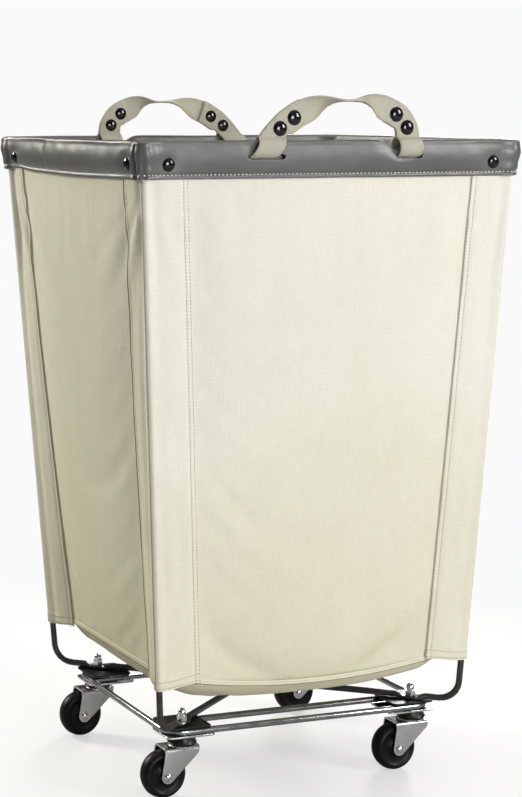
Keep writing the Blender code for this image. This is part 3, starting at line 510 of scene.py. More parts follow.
def shell_walls():
    """Rows of points round the bag's walls, from inside the band down to the bottom seam."""
    inset = 1.5 * CLOTH + 1.5 * GAP
    rows = []
    for k in range(SHELL_ROWS + 1):
        rows.append([])
        for turn, across in round_bag(SHELL_COLS):
            low = seam_height(across, turn)
            z = HIDDEN_TOP + (low - HIDDEN_TOP) * k / SHELL_ROWS
            rows[-1].append(panel_point(turn, across, z, inset))
    return np.array(rows)


def sides(loop):
    """The front, right, back and left stretch of a closed loop, as edges of one grid."""
    nx, ny = SHELL_COLS
    right, back, left = nx, nx + ny, 2 * nx + ny
    return loop[:right + 1], loop[right:back + 1], loop[back:left + 1][::-1], loop[left:][::-1]


def bottom_points(loop):
    """Grid of the bottom, spanned between the four stretches of its seam and sagging."""
    nx, ny = SHELL_COLS
    front, right, back, left = sides(loop)
    low = BELLY_Z + CLOTH / 2
    grid = np.zeros((ny + 1, nx + 1, 3))
    for j in range(ny + 1):
        for i in range(nx + 1):
            u, v = i / nx, j / ny
            spot = (front[i] * (1 - v) + back[i] * v + left[j] * (1 - u) + right[j] * u
                    - front[0] * (1 - u) * (1 - v) - front[nx] * u * (1 - v)
                    - back[0] * (1 - u) * v - back[nx] * u * v)
            share = (abs(2 * u - 1) ** 8 + abs(2 * v - 1) ** 8) ** 0.125
            spot[2] = low + (spot[2] - low) * min(1.0, share) ** 9
            grid[j, i] = spot
    grid[0], grid[:, nx], grid[ny], grid[:, 0] = front, right, back, left
    return grid


def cells(index, uv):
    """Faces over a grid of vertex numbers, and the coordinates of their corners."""
    faces, corners = [], []
    for r in range(len(index) - 1):
        for c in range(len(index[r]) - 1):
            quad = ((r, c), (r + 1, c), (r + 1, c + 1), (r, c + 1))
            faces.append([int(index[at]) for at in quad])
            corners += [uv[at] for at in quad]
    return faces, corners


def shell_mesh():
    """The bag as one sheet: its walls, and the grid of its bottom joined to their foot."""
    walls = shell_walls()
    rows, cols = walls.shape[:2]
    index = np.arange(rows * cols).reshape(rows, cols)
    index = np.hstack([index, index[:, :1]])
    high = np.hstack([walls[:, :, 2], walls[:, :1, 2]])
    along = np.broadcast_to(run_lengths(walls[rows // 2], closed=True), high.shape)
    faces, uvs = cells(index, np.stack([along, high], 2))
    grid = bottom_points(np.vstack([walls[-1], walls[-1][:1]]))
    inside = grid[1:-1, 1:-1]
    floor = np.zeros(grid.shape[:2], int)
    floor[1:-1, 1:-1] = rows * cols + np.arange(inside[..., 0].size).reshape(inside.shape[:2])
    floor[0], floor[:, -1], floor[-1], floor[:, 0] = sides(index[-1])
    more_faces, more_uvs = cells(floor, grid[..., :2])
    verts = np.vstack([walls.reshape(-1, 3), inside.reshape(-1, 3)])
    return mesh_of("bag_shell", verts, faces + more_faces, uvs + more_uvs)


def pinned_share(x, y, z):
    """1 where the shell is held: under the band and under the strips."""
    half_x, half_y = cloth_half(z)
    free = half_y - SLEEVE_WIDTH[1] - abs(y)
    if abs(y) > half_y - WALL_DEPTH:
        free = half_x - SLEEVE_WIDTH[0] - abs(x)
    return max(1 - smooth(free / 0.012), 1 - smooth((BAND_LOW + 0.002 - z) / 0.03))


def settle(obj):
    """Lets slightly loose canvas hang between its held corners and rim."""
    mesh = obj.data
    rest = np.array([v.co for v in mesh.vertices])
    group = obj.vertex_groups.new(name="held")
    for v in mesh.vertices:
        x, y, z = v.co
        half_x, half_y = cloth_half(z)
        on_wall = min(abs(abs(x) - half_x), abs(abs(y) - half_y)) < WALL_DEPTH
        share = pinned_share(x, y, z) if on_wall and z > SEAM_Z - FRONT_SEAM_DIP - 0.002 else 0.0
        if share > 0.02:
            group.add([v.index], share, "REPLACE")
    cloth = modifier(obj, "CLOTH")
    put(cloth.settings, **CLOTH_RULES)
    cloth.collision_settings.use_collision = False
    scene = bpy.context.scene
    for span in (scene, cloth.point_cache):
        put(span, frame_start=1, frame_end=SETTLE_FRAMES)
    for k in range(1, SETTLE_FRAMES + 1):
        scene.frame_set(k)
    seen = obj.evaluated_get(bpy.context.evaluated_depsgraph_get())
    step = np.array([v.co for v in seen.data.vertices]) - rest
    obj.modifiers.remove(cloth)
    obj.vertex_groups.clear()
    scene.frame_set(1)
    size = np.linalg.norm(step, axis=1)
    step *= (SETTLE_CAP * np.tanh(size / SETTLE_CAP) / np.maximum(size, 1e-9))[:, None]
    final = rest + step
    final[:, 2] = np.maximum(final[:, 2], BELLY_Z - 0.0015)
    mesh.vertices.foreach_set("co", final.ravel())
    mesh.update()


def press_folds(mesh):
    """Draws the walls in along the folds that hang from the rim's corners."""
    for v in mesh.vertices:
        room = [half - abs(at) for half, at in zip(cloth_half(v.co.z), v.co)]
        axis = int(room[0] > room[1])  # the one that the nearer wall faces along
        if v.co.z >= SEAM_Z and room[axis] <= WALL_DEPTH:
            deep = FOLD_DEEP[1 - axis] * pull_folds(room[1 - axis], BAND_LOW - v.co.z)
            v.co[axis] -= copysign(deep, v.co[axis])


def build_shell():
    mesh = shell_mesh()
    shell = new_object("canvas_bag", mesh, CANVAS)
    settle(shell)
    press_folds(mesh)
    thicken(shell, CLOTH)
    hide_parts("front_panel", "right_panel", "back_panel", "left_panel", "bottom_panel")


SEAM_SECTION = ((0.0, 0.0042), (0.0007, 0.004), (0.0011, 0.003), (0.0009, 0.0019),
                (0.0012, 0.0008), (0.001, -0.0004), (0.0003, -0.0012), (-0.0006, -0.001))
SEAM_STEPS = (48, 48)
SEAM_STITCH = (0.0036, 0.0025, 0.0007, 0.0005)


def build_bottom_seam():
    """The felled seam between the walls and the bottom: a flat double fold with its stitches."""
    inset = 1.0 * CLOTH + 1.5 * GAP
    path = np.array([panel_point(turn, across, seam_height(across, turn), inset)
                     for turn, across in round_bag(SEAM_STEPS)])
    ahead = unit(np.roll(path, -1, 0) - np.roll(path, 1, 0))
    out = unit(np.cross(ahead, (0, 0, 1)))
    up = np.cross(out, ahead)
    ease = np.array([[1 + 0.25 * wobble(*p, 60, 3.1)] for p in path])
    points = np.array([path + out * o * ease + up * u for o, u in SEAM_SECTION])
    mesh = grid_mesh("bottom_seam", points, run_lengths(path, closed=True),
                     [SEAM_Z + u for _, u in SEAM_SECTION], wrap_cols=True, flip=True)
    seam = new_object("bottom_seam_fold", mesh, STRIP)
    modifier(seam, "SUBSURF", levels=1, render_levels=1)
    normals = unit(points[3] - points[7])
    groove = list(zip(points[3], normals))
    row = stitch_row(groove + groove[:1], 0.0, SEAM_STITCH)
    sewing("stitching_bottom_seam", [row], THREAD_CREAM)
    # painted shadow line along the foot of the seam's fold
    line = cord(list(zip(points[6], normals)), 0.0006, 0.0003, closed=True)
    sewing("painted_shadow_line_bottom", [line], SEAM_SHADOW_PAINT)


# ---- corner strips ----
STRIP_EDGE = (0.0, 0.0006, 0.0013, 0.002, 0.0027, 0.0036, 0.005, 0.0063, 0.007, 0.0077,
              0.0088, 0.01, 0.0115)  # columns beside each sewn edge
STRIP_FLAT = (0.049, 0.043)  # width of the front's and of the side's flat
STRIP_FOOT = (0.0, 0.001, 0.0019, 0.0026, 0.0033, 0.0045, 0.0065, 0.0083, 0.0092, 0.0101,
              0.012, 0.0145)  # levels of the hem
STRIP_ROWS = (0.002, 0.007)  # stitch rows from each sewn edge
HEM_ROWS = (0.0026, 0.0092)
STRIP_STITCH = (0.0037, 0.0027, 0.0008, 0.0006)
CORNER_CREASE = 0.86  # where the strip is creased, as a share of its corner
VALLEY_DEEP = (0.001, 0.0034)  # beside the rod, on the front and on the side
# painted shadow lines along the strips' sewn edges and their corner crease
STRIP_SHADOW_LINES = (("front", 0.0009, 0.00026, 0.0001), ("side", 0.0009, 0.00036, 0.0001),
               ("corner", CORNER_CREASE, 0.00055, 0.0))  # part, place, cord's half width, lift


def strip_columns():
    """(part, distance from its sewn edge or share of the corner), from the front edge on."""
    edge = STRIP_EDGE[-1]
    columns = [("front", d) for d in STRIP_EDGE]
    columns += [("front", edge + (STRIP_FLAT[0] - edge) * i / 12) for i in range(1, 12)]
    columns += [("corner", i / 18) for i in range(19)]
    columns += [("side", STRIP_FLAT[1] - (STRIP_FLAT[1] - edge) * i / 11) for i in range(1, 11)]
    return columns + [("side", d) for d in reversed(STRIP_EDGE)]


def strip_base(column, z):
    """Point on the flat of the front-right strip, before its relief is added."""
    half_x, half_y = cloth_half(z)
    pull_x, pull_y = drawn_in(z)
    r = SLEEVE_CORNER_R
    part, d = column
    if part == "corner":
        a = radians(270 + 90 * d)
        return np.array((half_x - r + r * cos(a), r - half_y + r * sin(a), z))
    if part == "front":
        start, end = (half_x - SLEEVE_WIDTH[0], pull_y - half_y, z), (half_x - r, -half_y, z)
    else:
        start, end = (half_x - pull_x, SLEEVE_WIDTH[1] - half_y, z), (half_x, r - half_y, z)
    return start + unit(np.subtract(end, start)) * d


def strip_normal(column):
    part, d = column
    lean = (TOP_X - FOOT_X) / (TOP_LEVEL - FOOT_Z)
    a = radians({"front": -90.0, "side": 0.0}.get(part, -90.0 + 90.0 * d))
    return unit(np.array((cos(a), sin(a), -lean)))


def strip_lift(column, z):
    """How far the strip stands out: sunk edges and stitches, valley, folds, crease and hem."""
    part, d = column
    hem, lift = z - FOOT_Z, 0.0
    if part == "corner":
        lift -= 0.0013 * bump(d, CORNER_CREASE, 0.085)
    else:
        is_side = part == "side"
        near = SLEEVE_WIDTH[is_side] - d
        lift -= 0.0004 * (1 - smooth((d - 0.0085) / 0.003))
        lift -= 0.0008 * (1 - smooth(d / 0.001))
        lift -= 0.0006 * sum(bump(d, row, 0.0006) for row in STRIP_ROWS)
        valley = VALLEY_DEEP[is_side] * bump(near, 0.012, 0.0068)
        valley *= 0.55 + 0.75 * smooth((z - 0.46) / 0.2)
        valley += FOLD_DEEP[is_side] * pull_folds(near, BAND_LOW - z)
        lift -= valley * smooth((near - 0.0055) / 0.0075)  # and none over the rod itself
        lift += 0.0006 * wobble(d * 2, 0, z * 0.6, 35, 5.0 if is_side else 9.0)
    lift += 0.0006 * (1 - smooth((hem - 0.0105) / 0.003))
    return lift - 0.0005 * sum(bump(hem, row, 0.0007) for row in HEM_ROWS)


def strip_surface(column, z):
    n = strip_normal(column)
    return strip_base(column, z) + n * strip_lift(column, z), n


def strip_foot(column):
    """The hem rises a little towards the strip's sewn edges."""
    part, d = column
    if part == "corner":
        return FOOT_Z
    width = SLEEVE_WIDTH[part == "side"] - SLEEVE_CORNER_R
    return FOOT_Z + 0.005 * smooth(1 - d / width)


def strip_grid(columns):
    """Points of the front-right strip from its foot up, and its coordinates across and up."""
    rest, start = HIDDEN_TOP - FOOT_Z, STRIP_FOOT[-1]
    levels = STRIP_FOOT + tuple(start + (rest - start) * (i / 58) for i in range(1, 59))
    points = np.array([[strip_surface(c, FOOT_Z + level + (strip_foot(c) - FOOT_Z)
                                      * (1 - level / rest))[0] for c in columns]
                       for level in levels])
    return points, run_lengths(points[len(levels) // 2]), [FOOT_Z + level for level in levels]


def strip_sewing(columns):
    """Rows of stitches, and the shadow line of each part, on the front-right strip."""
    heights = np.linspace(FOOT_Z + 0.002, BAND_LOW + 0.006, 90)
    tall = np.linspace(FOOT_Z + 0.006, BAND_LOW + 0.004, 90)
    places = [[((part, d), z) for z in heights] for part in ("front", "side") for d in STRIP_ROWS]
    inside = [c for c in columns if c[0] == "corner" or c[1] >= 0.002]
    places += [[(c, strip_foot(c) + up) for c in inside] for up in HEM_ROWS]
    rows = [stitch_row([strip_surface(*at) for at in row], 0.0001, STRIP_STITCH) for row in places]
    lines = {part: cord([strip_surface((part, at), z) for z in tall], half, lift)
             for part, at, half, lift in STRIP_SHADOW_LINES}
    return rows, lines


def build_strips():
    columns = strip_columns()
    points, across, up = strip_grid(columns)
    rows, lines = strip_sewing(columns)
    for name, (sx, sy) in CORNERS.items():
        sign, flip = np.array((sx, -sy, 1)), sx * sy > 0
        mesh = grid_mesh(f"strip_{name}", points * sign, across, up, flip=flip)
        strip = new_object(f"corner_strip_{name}", mesh, STRIP)
        thicken(strip, CLOTH, -1.0)
        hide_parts(f"corner_sleeve_{name}")
        placed = [(v * sign, [f[::-1] for f in faces] if flip else faces) for v, faces in rows]
        sewing(f"stitching_strip_{name}", placed, THREAD_CREAM)
        # painted shadow lines along this strip's seams and its corner crease
        shown = ("side", "corner") if flip else ("front", "side")
        placed = [(lines[part][0] * sign, lines[part][1]) for part in shown]
        sewing(f"painted_shadow_line_{name}", placed, SEAM_SHADOW_PAINT)


# ---- rim band ----
STITCH_UP = 0.0046  # the band's stitch row over its lower edge
RIM_STITCH = (0.0046, 0.0027, 0.0014, 0.0011)
INNER_STITCH = (0.0048, 0.0031, 0.0011, 0.0009)
TOP_ROUND = 0.0033  # height of the fold at the top of the band
CORNER_STEP = 0.0011  # between columns near a corner
FLAT_STEP = 0.0036  # and between the others, about
ARC_STEPS = 7  # in half a corner
RIM_RIVET = (0.1975, 0.155)  # rivets from the middle of a long and of a short side
RIM_RIVET_Z = sum(end.z / 2 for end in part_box("rim_rivet_front_left"))
LOOPS = [j for j in frame["joints"] if j["name"].startswith("handle_fold")]
PIVOT_Y = abs(LOOPS[0]["pos_m"][1])
PIVOT_Z = LOOPS[0]["pos_m"][2]
STRAP_W = 0.028
STRAP_T = 0.0024
STRAP_X = (-0.0875, 0.0893)  # left and right loop of a handle, seen from outside
LOOP_R = 0.01
LOOP_LEAN = (0.55, 0.0)
LOOP_OPEN = 36  # degrees from straight up to each end of a loop
SLOT_X = ((-0.1056, -0.0618), (0.0735, 0.1055))
SLOT_Z = (PIVOT_Z - 0.0122, PIVOT_Z - 0.007)


def band_plan():
    """(quarter, part, share) of each column round the rim, starting at a corner's middle."""
    plan = []
    near = [CORNER_STEP * i for i in range(24)]
    arc = [i / ARC_STEPS for i in range(ARC_STEPS)]
    for turn in range(4):
        full = 2 * (TOP_X, TOP_Y)[turn % 2]
        wide = full - 2 * near[-1]
        steps = round(wide / FLAT_STEP)
        marks = near + [near[-1] + wide * i / steps for i in range(1, steps)]
        marks += [full - m for m in reversed(near)][:-1]
        plan += [(turn, "arc0", share) for share in arc]
        plan += [(turn, "flat", m / full) for m in marks]
        plan += [(turn, "arc1", share) for share in arc]
    return plan


def band_plan_point(entry, z, out, radius, pulled):
    """Plan point of the band, with its outward normal, for one column."""
    turn, part, share = entry
    half_x, half_y = cloth_half(z)
    if pulled:
        pull_x, pull_y = drawn_in(z)
        half_x, half_y = half_x - pull_x, half_y - pull_y
    wide, deep = (half_x, half_y) if turn % 2 == 0 else (half_y, half_x)
    wide, deep = wide + out, deep + out
    flat = wide - radius
    if part == "flat":
        x, y, n = flat * (2 * share - 1), -deep, (0, -1, 0)
    else:
        side, start = (-1, 1) if part == "arc0" else (1, 0)
        a = radians(45 * (share - start))
        n = (sin(a), -cos(a), 0)
        x, y = side * flat + radius * n[0], radius - deep + radius * n[1]
    return turned_about_z((x, y, z), turn), turned_about_z(n, turn), x, wide


def band_dip(turn, along):
    """The rim is pressed down beside one loop of each handle."""
    if turn % 2:
        return 0.0
    near = smooth((along - (STRAP_X[1] - 0.04)) / 0.026)
    far = 1 - smooth((along - (STRAP_X[1] - 0.006)) / 0.014)
    return 0.0105 * near * near * far


def band_hang(turn, along, wide):
    """The band's lower edge rides up over the far end of each side and droops at its middle."""
    if turn % 2 == 0:
        return 0.0
    across = along / wide
    return 0.0032 * bump(across, -0.8, 0.16) - 0.0016 * bump(across, 0.15, 0.45)


def band_profile():
    """Stations across the band: (leg, height over the leg's low end, or angle on the top)."""
    rise = RIM_Z - BAND_LOW - TOP_ROUND
    outer = [0.0, 0.0012, 0.0026, 0.0038, 0.0046, 0.0054, 0.0068, 0.009]
    outer += [outer[-1] + (rise - outer[-1]) * i / 14 for i in range(1, 15)]
    inner = RIM_Z - TOP_ROUND - (RIM_Z - BAND_INNER_DROP)
    stations = [("outer", h) for h in outer]
    stations += [("top", a) for a in (22, 45, 68, 90, 112, 135, 158)]
    return stations + [("inner", inner * (1 - i / 14)) for i in range(15)]


def corner_fold(turn, along, wide, edge, share):
    """Creases of the vinyl beside a corner; the short sides are gathered more."""
    lower = 1 - 0.6 * share
    if turn % 2 == 0:
        return (-0.0014 * bump(edge, 0.003, 0.002) + 0.0008 * bump(edge, 0.009, 0.0035)) * lower
    fold = (0.0034 * bump(edge, 0.014, 0.0044) - 0.0036 * bump(edge, 0.0072, 0.0016)) * lower
    return fold - 0.0012 * bump(along, -0.35 * wide, 0.006) * smooth(share / 0.3)


def band_relief(turn, along, wide, p, value, share):
    """How far the band's outside stands out: puffed, flared at the corners, folded and wavy."""
    z, edge = p[2], wide - abs(along)
    at_rivet = bump(hypot(abs(along) - RIM_RIVET[turn % 2], z - RIM_RIVET_Z), 0.0, 0.0135)
    over = min(1.0, max(0.0, (value - STITCH_UP) / 0.03))
    puff = 0.0025 * sin(pi * over) ** 0.9 - 0.0011 * bump(value, STITCH_UP, 0.0012)
    flare = 0.004 * smooth((share - 0.35) / 0.4) + 0.0038 * (1 - smooth(share / 0.75))
    wave = 0.0011 * wobble(p[0], p[1], z * 0.4, 17, 2.0) + 0.0005 * wobble(*p, 60, 7.0)
    return (puff * (1 - at_rivet) + bump(edge, 0.001, 0.015) * flare
            + corner_fold(turn, along, wide, edge, share)
            + wave * smooth(edge / 0.02) * (1 - at_rivet))


def band_point(entry, station):
    """Point of the band's middle surface, and the outward normal of its column."""
    leg, value = station
    turn = entry[0]
    top = RIM_Z - TOP_ROUND
    outside = (GAP + VINYL / 2, SLEEVE_CORNER_R + GAP + VINYL / 2, False)
    inside = (-(STACK + VINYL / 2), PANEL_CORNER_R - STACK - VINYL / 2, True)
    if leg == "outer":
        share = value / (top - BAND_LOW)
        p, n, along, wide = band_plan_point(entry, BAND_LOW + value, *outside)
        p = p + n * band_relief(turn, along, wide, p, value, share)
    elif leg == "inner":
        share = value / (BAND_INNER_DROP - TOP_ROUND)
        p, n, along, wide = band_plan_point(entry, RIM_Z - BAND_INNER_DROP + value, *inside)
        p = p - n * (0.0005 * sin(pi * share) + 0.0005 * wobble(*p, 40, 4.0))
    else:
        a, share = radians(value), 1.0
        out, n, along, wide = band_plan_point(entry, top, *outside)
        far = band_plan_point(entry, top, *inside)[0]
        p = (out + far) / 2 + (out - far) / 2 * cos(a)
        p[2] = top + 0.0026 * sin(a)
        p = p + n * (bump(wide - abs(along), 0.001, 0.015) * 0.004 * cos(a / 2) ** 2)
    sag = 0.0009 * wobble(p[0], p[1], 0, 11, 11.0)
    p[2] += (sag - band_dip(turn, along)) * smooth(share * 1.25 - 0.25)
    p[2] += band_hang(turn, along, wide) * (1 - smooth(share * 1.6))
    return p, n


def slot_gaps(x, z):
    """Distance of points from the outline of the nearest slot, below 0 inside, and its slope."""
    r, z = (SLOT_Z[1] - SLOT_Z[0]) / 2, z - sum(SLOT_Z) / 2
    found = []
    for x0, x1 in SLOT_X:
        dx = x - (x0 + x1) / 2
        over = np.maximum(0.0, abs(dx) - ((x1 - x0) / 2 - r))
        away = np.maximum(np.hypot(over, z), 1e-9)
        found.append((away - r, np.copysign(over, dx) / away, z / away))
    return np.where(found[0][0] <= found[1][0], *found)


def cut_slots(points, plan, profile):
    """Opens the slots in the band's grid: returns the quads to leave out, edges moved to fit."""
    sign = np.array([{0: 1, 2: -1}.get(e[0], 0) for e in plan])
    gap, slope_x, slope_z = slot_gaps(points[..., 0] * sign, points[..., 2])
    slotted = np.array([[s[0] != "top"] for s in profile]) & (sign != 0)
    gap = np.where(slotted, gap, 1.0)
    both = gap + np.roll(gap, -1, 1)
    out = both[:-1] + both[1:] < 0
    touched, kept = np.zeros((2, *gap.shape), bool)
    for dr in (0, 1):
        for dc in (0, 1):
            touched[dr:len(out) + dr] |= np.roll(out, dc, 1)
            kept[dr:len(out) + dr] |= np.roll(~out, dc, 1)
    step = gap * (touched & kept)
    points[..., 0] -= sign * slope_x * step
    points[..., 2] -= slope_z * step
    return out


def build_band():
    plan, profile = band_plan(), band_profile()
    points = np.array([[band_point(e, s)[0] for e in plan] for s in profile])
    open_quads = np.nonzero(cut_slots(points, plan, profile).ravel())[0]
    mesh = grid_mesh("rim_band_cover", points, run_lengths(points[8], closed=True),
                     run_lengths(points[:, 40]), wrap_cols=True)

    def open_up(made):
        made.faces.ensure_lookup_table()
        bmesh.ops.delete(made, geom=[made.faces[k] for k in open_quads], context="FACES")

    edit_mesh(mesh, open_up)
    band = new_object("rim_band_cover", mesh, RIM)
    thicken(band, VINYL)
    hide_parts("rim_band")
    outer = [band_point(e, ("outer", STITCH_UP)) for e in plan + plan[:1]]
    inner = [band_point(e, ("inner", 0.004)) for e in plan + plan[:1]]
    inner = [(p, -n) for p, n in inner]
    rows = [stitch_row(outer, VINYL / 2 - 0.0001, RIM_STITCH),
            stitch_row(inner, VINYL / 2 - 0.0001, INNER_STITCH)]
    sewing("stitching_rim", rows, THREAD_PALE)


# ---- handles ----
ARCH_FOOT = 0.0108
HANDLE_ARCH = (  # (x, z) along the strap's arch, from the loops' pivot
    (STRAP_X[0] + LOOP_LEAN[0] * (ARCH_FOOT + LOOP_R), ARCH_FOOT),
    (-0.0702, 0.0175), (-0.062, 0.0238), (-0.0528, 0.0298), (-0.0407, 0.0368),
    (-0.0211, 0.0434), (-0.0015, 0.0482), (0.0182, 0.05), (0.0411, 0.0475),
    (0.062, 0.0412), (0.078, 0.0333), (0.0866, 0.024), (0.089, 0.0165),
    (STRAP_X[1], ARCH_FOOT),
)
DOUBLED = (0.049, 0.042)  # length of the doubled strap at the left and right end
TWIST_START = 0.006
TWIST_LENGTH = (0.056, 0.04)
SQUARED_BY = 0.026  # the strap is square to its arch this far from an end
LAYER_Y = STRAP_T / 2 + GAP * 0.8
STRAP_EDGE = ((-1, 0.0), (-0.985, 0.62), (-0.93, 0.92), (-0.84, 0.8), (-0.76, 0.98))
HANDLE_STITCH = (0.0034, 0.0024, 0.0007, 0.0004)
GROOVE = (0.84, 0.82)  # share of the half width, and of the half thickness


def spline(points, per_span):
    """A smooth line through points."""
    p = np.array([points[0], *points, points[-1]])
    line = []
    for a, b, c, d in zip(p, p[1:], p[2:], p[3:]):
        for t in np.arange(per_span) / per_span:
            line.append(0.5 * (2 * b + (c - a) * t + (2 * a - 5 * b + 4 * c - d) * t * t
                               + (3 * b - a - 3 * c + d) * t ** 3))
    return np.array([*line, points[-1]])


def arch_line():
    """(point, unit tangent, distance from the left end) along the arch, in its own plane."""
    line = spline(HANDLE_ARCH, 5)
    ends = np.vstack([line[:1], line, line[-1:]])
    ahead = unit(ends[2:] - ends[:-2])
    ahead[0], ahead[-1] = [way * unit(np.array((lean, 1.0)))
                           for way, lean in zip((1, -1), LOOP_LEAN)]
    return list(zip(line, ahead, run_lengths(line)))


def loop_points(end):
    """The strap's way round the rim, from above on one side to above on the other."""
    lean, steps, points = LOOP_LEAN[end], 24, []
    for k in range(steps + 1):
        a = radians(LOOP_OPEN + (360 - 2 * LOOP_OPEN) * k / steps)
        z = LOOP_R * cos(a)
        at = Vector((STRAP_X[end] + lean * (z + LOOP_R), -LOOP_R * sin(a), z))
        points.append((at, Vector((-lean * sin(a), -cos(a), -sin(a))).normalized()))
    return points if end else [(p, -ahead) for p, ahead in reversed(points)]


def strap_sections():
    """(centre, tangent, half-width vector over half the width) from the left inner end on."""
    line = arch_line()
    total = line[-1][2]
    level = [Vector((-hypot(1, lean), 0, 0)) for lean in LOOP_LEAN]

    def layer(entry, y, way):
        (x, z), (tx, tz), run = entry
        end = int(run >= total / 2)
        square = smooth(min(run, total - run) / SQUARED_BY)
        wide = (level[end] * (1, -1)[end]).lerp(Vector((-tz, 0, tx)), square)
        return Vector((x, y, z)), Vector((way * tx, 0, way * tz)), wide

    def twisted(entry):
        run = entry[2]
        rising = smooth((run - (DOUBLED[0] - TWIST_START)) / TWIST_LENGTH[0])
        falling = smooth((run - (total - DOUBLED[1]) + TWIST_LENGTH[1]) / TWIST_LENGTH[1])
        centre, ahead, flat = layer(entry, -LAYER_Y, 1)
        turn = pi / 2 * (rising + falling)
        return centre, ahead, flat * cos(turn) + Vector((0, -1, 0)) * sin(turn)

    inner = [(e[2], layer(e, LAYER_Y, -1)) for e in reversed(line)]
    return ([made for run, made in inner if run <= DOUBLED[0]]
            + [(p, ahead, level[0]) for p, ahead in loop_points(0)]
            + [twisted(e) for e in line]
            + [(p, ahead, level[1]) for p, ahead in loop_points(1)]
            + [made for run, made in inner if run >= total - DOUBLED[1]])


def strap_frames():
    """(centre, half-width direction, normal) along the strap, without sudden flips."""
    frames, previous = [], None
    for centre, ahead, wide in strap_sections():
        if previous is not None and wide.dot(previous) < 0:
            wide = -wide
        previous = wide
        frames.append((centre, wide, ahead.cross(wide).normalized()))
    return frames


def strap_rows(frames):
    """A row of stitches beside each edge of the strap, on both of its faces."""
    rows = []
    for edge in (-GROOVE[0], GROOVE[0]):
        for face in (-1, 1):
            line = [(c + w * (STRAP_W / 2 * edge), t * face) for c, w, t in frames]
            rows.append(stitch_row(line, STRAP_T / 2 * GROOVE[1], HANDLE_STITCH))
    return rows


def close_ends(made):
    bmesh.ops.holes_fill(made, edges=[e for e in made.edges if e.is_boundary], sides=0)
    bmesh.ops.recalc_face_normals(made, faces=made.faces)


def build_handles():
    half = list(STRAP_EDGE) + [(0, 1.0)] + [(-a, b) for a, b in reversed(STRAP_EDGE[1:])]
    section = half + [(-a, -b) for a, b in half]
    frames = strap_frames()
    points = np.array([[c + w * (STRAP_W / 2 * a) + t * (STRAP_T / 2 * b) for a, b in section]
                       for c, w, t in frames])
    girth, run = run_lengths(points[0], closed=True), run_lengths([f[0] for f in frames])
    rows = strap_rows(frames)
    for name, sign in (("front", -1), ("back", 1)):
        place = Matrix.Translation((0, sign * PIVOT_Y, PIVOT_Z))
        if sign > 0:
            place = place @ Matrix.Rotation(pi, 4, "Z")
        mesh = grid_mesh(f"webbing_{name}", points, girth, run, wrap_cols=True)
        edit_mesh(mesh, close_ends)
        mesh.transform(place)
        mesh.shade_smooth()
        body = f"handle_{name}"
        strap = new_object(f"handle_webbing_{name}", mesh, WEBBING, body)
        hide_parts(f"handle_strap_{name}")
        placed = [(np.array([place @ Vector(p) for p in v]), faces) for v, faces in rows]
        sewing(f"stitching_handle_{name}", placed, THREAD_CREAM, body=body)


# ---- wheels ----
WHEEL_BORE = 0.0031
TUBE_WALL = 0.0045


def mirrored(profile):
    """The (radius, offset) profile and its mirror image, with the middle point only once."""
    return profile + [(r, -h) for r, h in reversed(profile) if h]


def revolve(name, profile, centre, steps=96):
    """Turns (radius, offset along Y) pairs into a closed ring about the Y axis."""
    profile = np.array(profile)
    a = 2 * np.pi * np.arange(steps) / steps
    points = np.array([np.stack([centre[0] + r * np.sin(a), np.full(steps, centre[1] + h),
                                 centre[2] + r * np.cos(a)], 1) for r, h in profile])
    girth = run_lengths(np.column_stack([profile, np.zeros(len(profile))]), closed=True)
    ring = 2 * np.pi * profile[:, 0].max() * np.arange(steps + 1) / steps
    return grid_mesh(name, points, ring, girth, wrap_cols=True, wrap_rows=True)


def tyre_profile(r, half):
    """From the bushing out over the recessed web, the shoulder and the crowned tread."""
    return mirrored([
        (WHEEL_BORE + 0.0046, half - 0.0008), (WHEEL_BORE + 0.0052, half - 0.0001),
        (0.0098, half - 0.0006), (0.0104, half - 0.0016), (0.0116, half - 0.002),
        (r - 0.0082, half - 0.0018), (r - 0.0072, half - 0.001), (r - 0.0062, half - 0.0003),
        (r - 0.005, half - 0.0002), (r - 0.0036, half - 0.0008), (r - 0.002, half - 0.0022),
        (r - 0.0009, half - 0.004), (r - 0.0003, half - 0.006), (r, half - 0.008),
        (r, 0.0005), (r + 0.00015, 0.0)])


def tube_profile(half):
    outside = WHEEL_BORE + TUBE_WALL
    return mirrored([(WHEEL_BORE, half), (WHEEL_BORE + 0.0016, half),
                     (outside - 0.0005, half - 0.0005), (outside, half - 0.0012)])


def build_wheels():
    for name in CORNERS:
        body = f"wheel_{name}"
        low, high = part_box(body)
        centre, radius, half = (low + high) / 2, (high.z - low.z) / 2, (high.y - low.y) / 2
        mesh = revolve(f"tyre_{name}", tyre_profile(radius, half), centre)
        tyre = new_object(f"wheel_tyre_{name}", mesh, RUBBER, body)
        mesh = revolve(f"hub_{name}", tube_profile(half), centre, 48)
        hub = new_object(f"wheel_bushing_{name}", mesh, BLACK, body)
        for part in (tyre, hub):
            part.data.set_sharp_from_angle(angle=radians(40))
        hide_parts(body)


# ---- the frame's own solids ----
WELD_WITHIN = 0.00002
FLAT_WITHIN = 2  # degrees between faces that count as one flat


